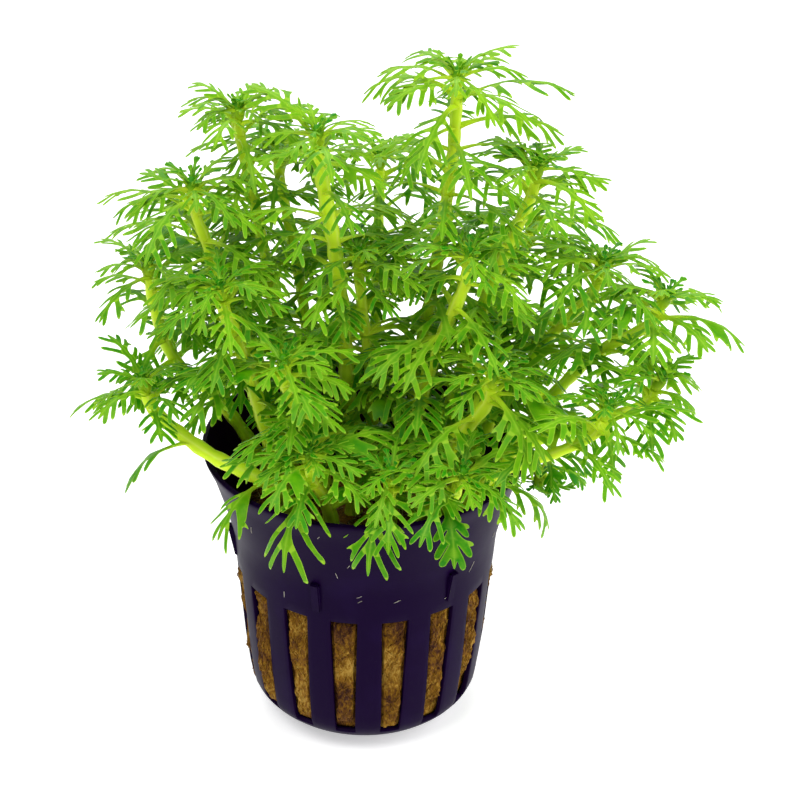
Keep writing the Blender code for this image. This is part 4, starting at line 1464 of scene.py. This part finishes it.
    def add_ribs(self, bm: bmesh.types.BMesh) -> None:
        """Add the stacking ribs, each a small wedge that is sunk into the wall.

        Args:
            bm: the pot, in metres.
        """
        for index in range(self.ribs):
            turn = math.radians(self.first_rib + 360.0 * index / self.ribs)
            made = bmesh.ops.create_cube(bm, size=1.0)["verts"]
            for vert in made:
                end = 0 if vert.co.z < 0 else 1
                proud = self.rib_proud[end] if vert.co.x > 0 else -self.rib_sunk
                height = self.rib_span[end]
                reach = (self.radius(height) + proud) * MM
                vert.co = Vector((reach, vert.co.y * self.rib_width * MM, height * MM))
            edges = list({edge for vert in made for edge in vert.link_edges})
            bmesh.ops.rotate(bm, verts=made, matrix=Matrix.Rotation(turn, 3, "Z"))
            bmesh.ops.bevel(bm, geom=edges, offset=self.rib_edge * MM, segments=2,
                            affect="EDGES")


@dataclass
class WoolPlug:
    """The plug of mineral wool: a matted lump that swells a little into the pot's slots.

    Hollows holds how far above each slot's foot the wool starts to fill it. Strand_lift is how
    far a single fibre lies off the wool at its ends, and what it gains in its middle. Single
    fibres are drawn thicker than real ones, so that they show.
    """

    pot: SlottedPot
    material: bpy.types.Material
    floor: float = 1.3
    top: float = 35.6
    turns: int = 352
    levels: int = 68
    top_rings: int = 15
    clearance: float = 0.35
    swell: float = 1.0
    lump: float = 0.7
    top_lump: float = 0.9
    tuft: float = 0.22
    tuft_scale: float = 1.470612
    strands: int = 1100
    strand_steps: int = 9
    strand_lift: tuple[float, float] = (0.05, 0.10)
    strand_half: tuple[float, float] = (0.05, 0.09)
    hollows: tuple[float, ...] = (1.8, 0.4, 4.5, 5.5, 0.4, 2.5, 0.4, 3.5, 1.2, 0.4, 2.0, 0.4,
                                  4.0, 0.4, 0.4, 0.4)
    bulging_slot: int = 14
    bulge: float = 1.5
    bulge_height: float = 13.0
    bulge_span: float = 9.0

    def face(self, turn: float, height: float) -> float:
        """Find the wool's radius.

        Args:
            turn: the azimuth.
            height: the height.

        Returns:
            The radius, clear of the wall and swollen in the slots.
        """
        pot = self.pot
        inner = pot.radius(height) - pot.wall - self.clearance
        slot = round((turn - pot.first_slot) / (360.0 / pot.slots)) % pot.slots
        inside = pot.half_slot(height) - 0.2 - math.radians(pot.beside(turn)) * inner
        above = held((height - pot.slot_bottom - self.hollows[slot]) / 0.8)
        below = held((pot.slot_top - 0.2 - height) / 0.6)
        window = held(inside / 0.4) * above * below
        window = window * window * (3.0 - 2.0 * window)
        spot = Vector(polar(turn, inner, height))
        swell = self.swell + self.lump * noise.fractal(spot * 0.20, 1.0, 2.0, 4)
        if slot == self.bulging_slot:
            near = held(1.0 - abs(height - self.bulge_height) / self.bulge_span)
            swell += self.bulge * near * held(inside / 1.4)
        tuft = self.tuft * noise.fractal(spot * self.tuft_scale, 0.9, 2.0, 3)
        return inner + window * swell + tuft * (0.3 + window) - 0.1

    def build(self) -> bpy.types.Object:
        """Build the wool.

        Returns:
            The wool piece.
        """
        tissue = Tissue()
        count = self.turns
        rings = []
        for level in range(self.levels + 1):
            height = between((self.floor, self.top), level / self.levels)
            turns = [360.0 * k / count for k in range(count)]
            rings.append(np.array([polar(turn, self.face(turn, height), height)
                                   for turn in turns]))
        for step in range(1, self.top_rings):
            share = 1.0 - step / self.top_rings
            flat = rings[self.levels] * (share, share, 1.0)
            for point in flat:
                lump = noise.fractal(Vector(point) * 0.22, 1.0, 2.0, 4)
                point[2] += 0.5 + self.top_lump * lump
            rings.append(flat)
        tissue.add(np.concatenate(rings), ring_faces(len(rings), count))
        self.add_strands(tissue)
        piece = tissue.build("matted_wool", [self.material])
        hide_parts("rockwool")
        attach(piece, "root")
        LOG.info("wool: %d faces", len(piece.data.polygons))
        return piece

    def add_strands(self, tissue: Tissue) -> None:
        """Lay single fibres over the wool where the slots show it.

        Args:
            tissue: the mesh that takes them.
        """
        chance = random.Random(431)
        pot = self.pot
        for _ in range(self.strands):
            slot = chance.randrange(pot.slots)
            turn = pot.first_slot + 360.0 * slot / pot.slots + chance.uniform(-5.0, 5.0)
            height = chance.uniform(pot.slot_bottom + 1.0, pot.slot_top - 1.0)
            drift, climb = chance.uniform(-0.9, 0.9), chance.uniform(0.3, 1.0)
            bend = chance.uniform(-0.16, 0.16)
            points = []
            for k in range(self.strand_steps):
                arch = self.strand_lift[1] * math.sin(k * math.pi / (self.strand_steps - 1))
                reach = self.face(turn, height) + self.strand_lift[0] + arch
                points.append(Vector(polar(turn, reach, height)))
                turn += drift * 1.2
                height += climb * 0.8
                drift += bend
                inside = math.radians(pot.beside(turn)) * reach < pot.half_slot(height) - 0.3
                if not inside or height > pot.slot_top - 0.5:
                    break
            if len(points) > 3:
                radii = [chance.uniform(*self.strand_half)] * len(points)
                tissue.add(*tube(points, radii, 4))


@dataclass
class StrayFibres:
    """Pale wool fibres that cling to the pot's outer wall, most of them near its front.

    Seen holds the azimuth and height of the ones that the photograph shows. They are drawn
    thicker than real ones, so that they show.
    """

    pot: SlottedPot
    material: bpy.types.Material
    seen: tuple[tuple[float, float], ...] = (
        (-106.0, 48.0), (-100.8, 38.7), (-39.9, 34.4), (-116.5, 41.2), (-74.7, 33.6),
        (-126.5, 31.5))
    others: int = 8
    other_heights: tuple[float, float] = (31.0, 46.0)
    thickness: float = 0.10

    def build(self) -> bpy.types.Object:
        """Build the fibres.

        Returns:
            The fibres piece.
        """
        chance = random.Random(53)
        tissue = Tissue()
        places = list(self.seen)
        places += [(chance.uniform(0.0, 360.0), chance.uniform(*self.other_heights))
                   for _ in range(self.others)]
        for turn, height in places:
            drift, climb = chance.uniform(-0.8, 0.8), chance.uniform(-0.35, 0.35)
            points = []
            for _ in range(chance.randint(4, 7)):
                reach = self.pot.radius(height) + 0.4 * self.thickness
                points.append(Vector(polar(turn, reach, height)))
                turn += drift
                height += climb
                climb += chance.uniform(-0.12, 0.12)
            tissue.add(*tube(points, [0.5 * self.thickness] * len(points), 5))
        piece = tissue.build("stray_fibres", [self.material])
        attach(piece, "root")
        LOG.info("stray fibres: %d", len(places))
        return piece


@dataclass
class RootTangle:
    """Thin pale roots that cross the wool round the feet of the shoots.

    Sag is how far a root sinks at its first step, and how much more at each later one.
    """

    material: bpy.types.Material
    roots: int = 46
    steps: int = 12
    step: float = 0.9
    thickness: float = 0.32
    lowest: float = 36.5
    widest: float = 20.5
    sag: tuple[float, float] = (0.25, 0.18)
    taper: float = 0.6

    def build(self) -> bpy.types.Object:
        """Build the roots.

        Returns:
            The roots piece.
        """
        chance = random.Random(77)
        tissue = Tissue()
        for _ in range(self.roots):
            shoot = chance.choice(SHOOTS)
            start = shoot.place(chance.uniform(0.03, 0.16))
            turn = chance.uniform(0.0, math.tau)
            points = []
            reach, height = 0.0, start.z
            for k in range(self.steps):
                spot = Vector((start.x + reach * math.cos(turn), start.y + reach * math.sin(turn),
                               max(self.lowest, height)))
                if spot.xy.length > self.widest:
                    break
                points.append(spot)
                reach += self.step
                turn += chance.uniform(-0.22, 0.22)
                height -= self.sag[0] + self.sag[1] * k
            if len(points) < 4:
                continue
            thick = 0.5 * self.thickness * chance.uniform(0.7, 1.2)
            radii = [thick * (1.0 - self.taper * k / len(points)) for k in range(len(points))]
            tissue.add(*tube(points, radii, 6))
        piece = tissue.build("pale_roots", [self.material])
        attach(piece, "root")
        LOG.info("roots: %d faces", len(piece.data.polygons))
        return piece


@dataclass
class Studio:
    """The pale floor, the soft lights and the camera at the photograph's angle.

    Each lamp has a name, a place, the side of its square and its power in watts.
    """

    camera_at: Spot = (0.0, -332.0, 247.1)
    pitch: float = 29.55
    yaw: float = 0.96
    roll: float = 1.0
    lens: float = 103.7
    floor_half: float = 12000.0
    room_light: float = 0.25
    aim: Spot = (0.0, 0.0, 60.0)
    lamps: tuple[tuple[str, Spot, float, float], ...] = (
        ("key", (-200.0, -180.0, 600.0), 460.0, 3.2),
        ("fill", (440.0, -60.0, 300.0), 420.0, 2.0),
        ("back", (-60.0, 420.0, 420.0), 420.0, 1.4))

    def build(self) -> None:
        """Make the whole studio."""
        self.floor()
        self.lights()
        self.camera()
        bpy.context.scene.view_settings.view_transform = "Standard"

    def floor(self) -> None:
        """Lay the floor."""
        bm = bmesh.new()
        bmesh.ops.create_grid(bm, x_segments=8, y_segments=8, size=self.floor_half * MM)
        mesh = bpy.data.meshes.new("studio_floor")
        bm.to_mesh(mesh)
        bm.free()
        sheet = linked("studio_floor", mesh)
        mesh.materials.append(StudioPaper().build())

    def lights(self) -> None:
        """Hang the soft lights and fill the room with white light."""
        world = bpy.data.worlds.new("studio")
        bpy.context.scene.world = world
        world.use_nodes = True
        room = world.node_tree.nodes["Background"]
        room.inputs[0].default_value = linear("#FFFFFF")
        room.inputs[1].default_value = self.room_light
        for name, place, size, watts in self.lamps:
            data = bpy.data.lights.new(name, "AREA")
            data.size = size * MM
            data.energy = watts
            lamp = bpy.data.objects.new(name, data)
            bpy.context.scene.collection.objects.link(lamp)
            lamp.location = Vector(place) * MM
            aim = Vector(self.aim) * MM - lamp.location
            lamp.rotation_mode = "QUATERNION"
            lamp.rotation_quaternion = aim.to_track_quat("-Z", "Y")

    def camera(self) -> None:
        """Set the camera where the photograph was taken."""
        pitch, yaw, roll = (math.radians(a) for a in (self.pitch, self.yaw, self.roll))
        ahead = Vector((math.sin(yaw) * math.cos(pitch), math.cos(yaw) * math.cos(pitch),
                        -math.sin(pitch)))
        level = Vector((math.cos(yaw), -math.sin(yaw), 0.0))
        above = level.cross(ahead)
        right = math.cos(roll) * level + math.sin(roll) * above
        top = -math.sin(roll) * level + math.cos(roll) * above
        data = bpy.data.cameras.new("photograph")
        data.lens = self.lens
        data.clip_start = 0.01
        camera = bpy.data.objects.new("photograph", data)
        bpy.context.scene.collection.objects.link(camera)
        turn = Matrix((right, top, -ahead)).transposed()
        camera.matrix_world = Matrix.Translation(Vector(self.camera_at) * MM) @ turn.to_4x4()
        bpy.context.scene.camera = camera


def main() -> None:
    """Build every piece in order."""
    logging.basicConfig(level=logging.INFO, format="%(message)s")
    Studio().build()
    pot = SlottedPot(MouldedPolypropylene().build())
    pot.build()
    WoolPlug(pot, DampMineralWool().build()).build()
    StrayFibres(pot, DRY_WOOL_FIBRE.build()).build()
    RootTangle(PALE_ROOT.build()).build()
    skins = [STEM_TISSUE.build(), LEAF_TISSUE.build()]
    for shoot in SHOOTS:
        ShootPieces(shoot, skins).build()


if __name__ == "__main__":
    main()
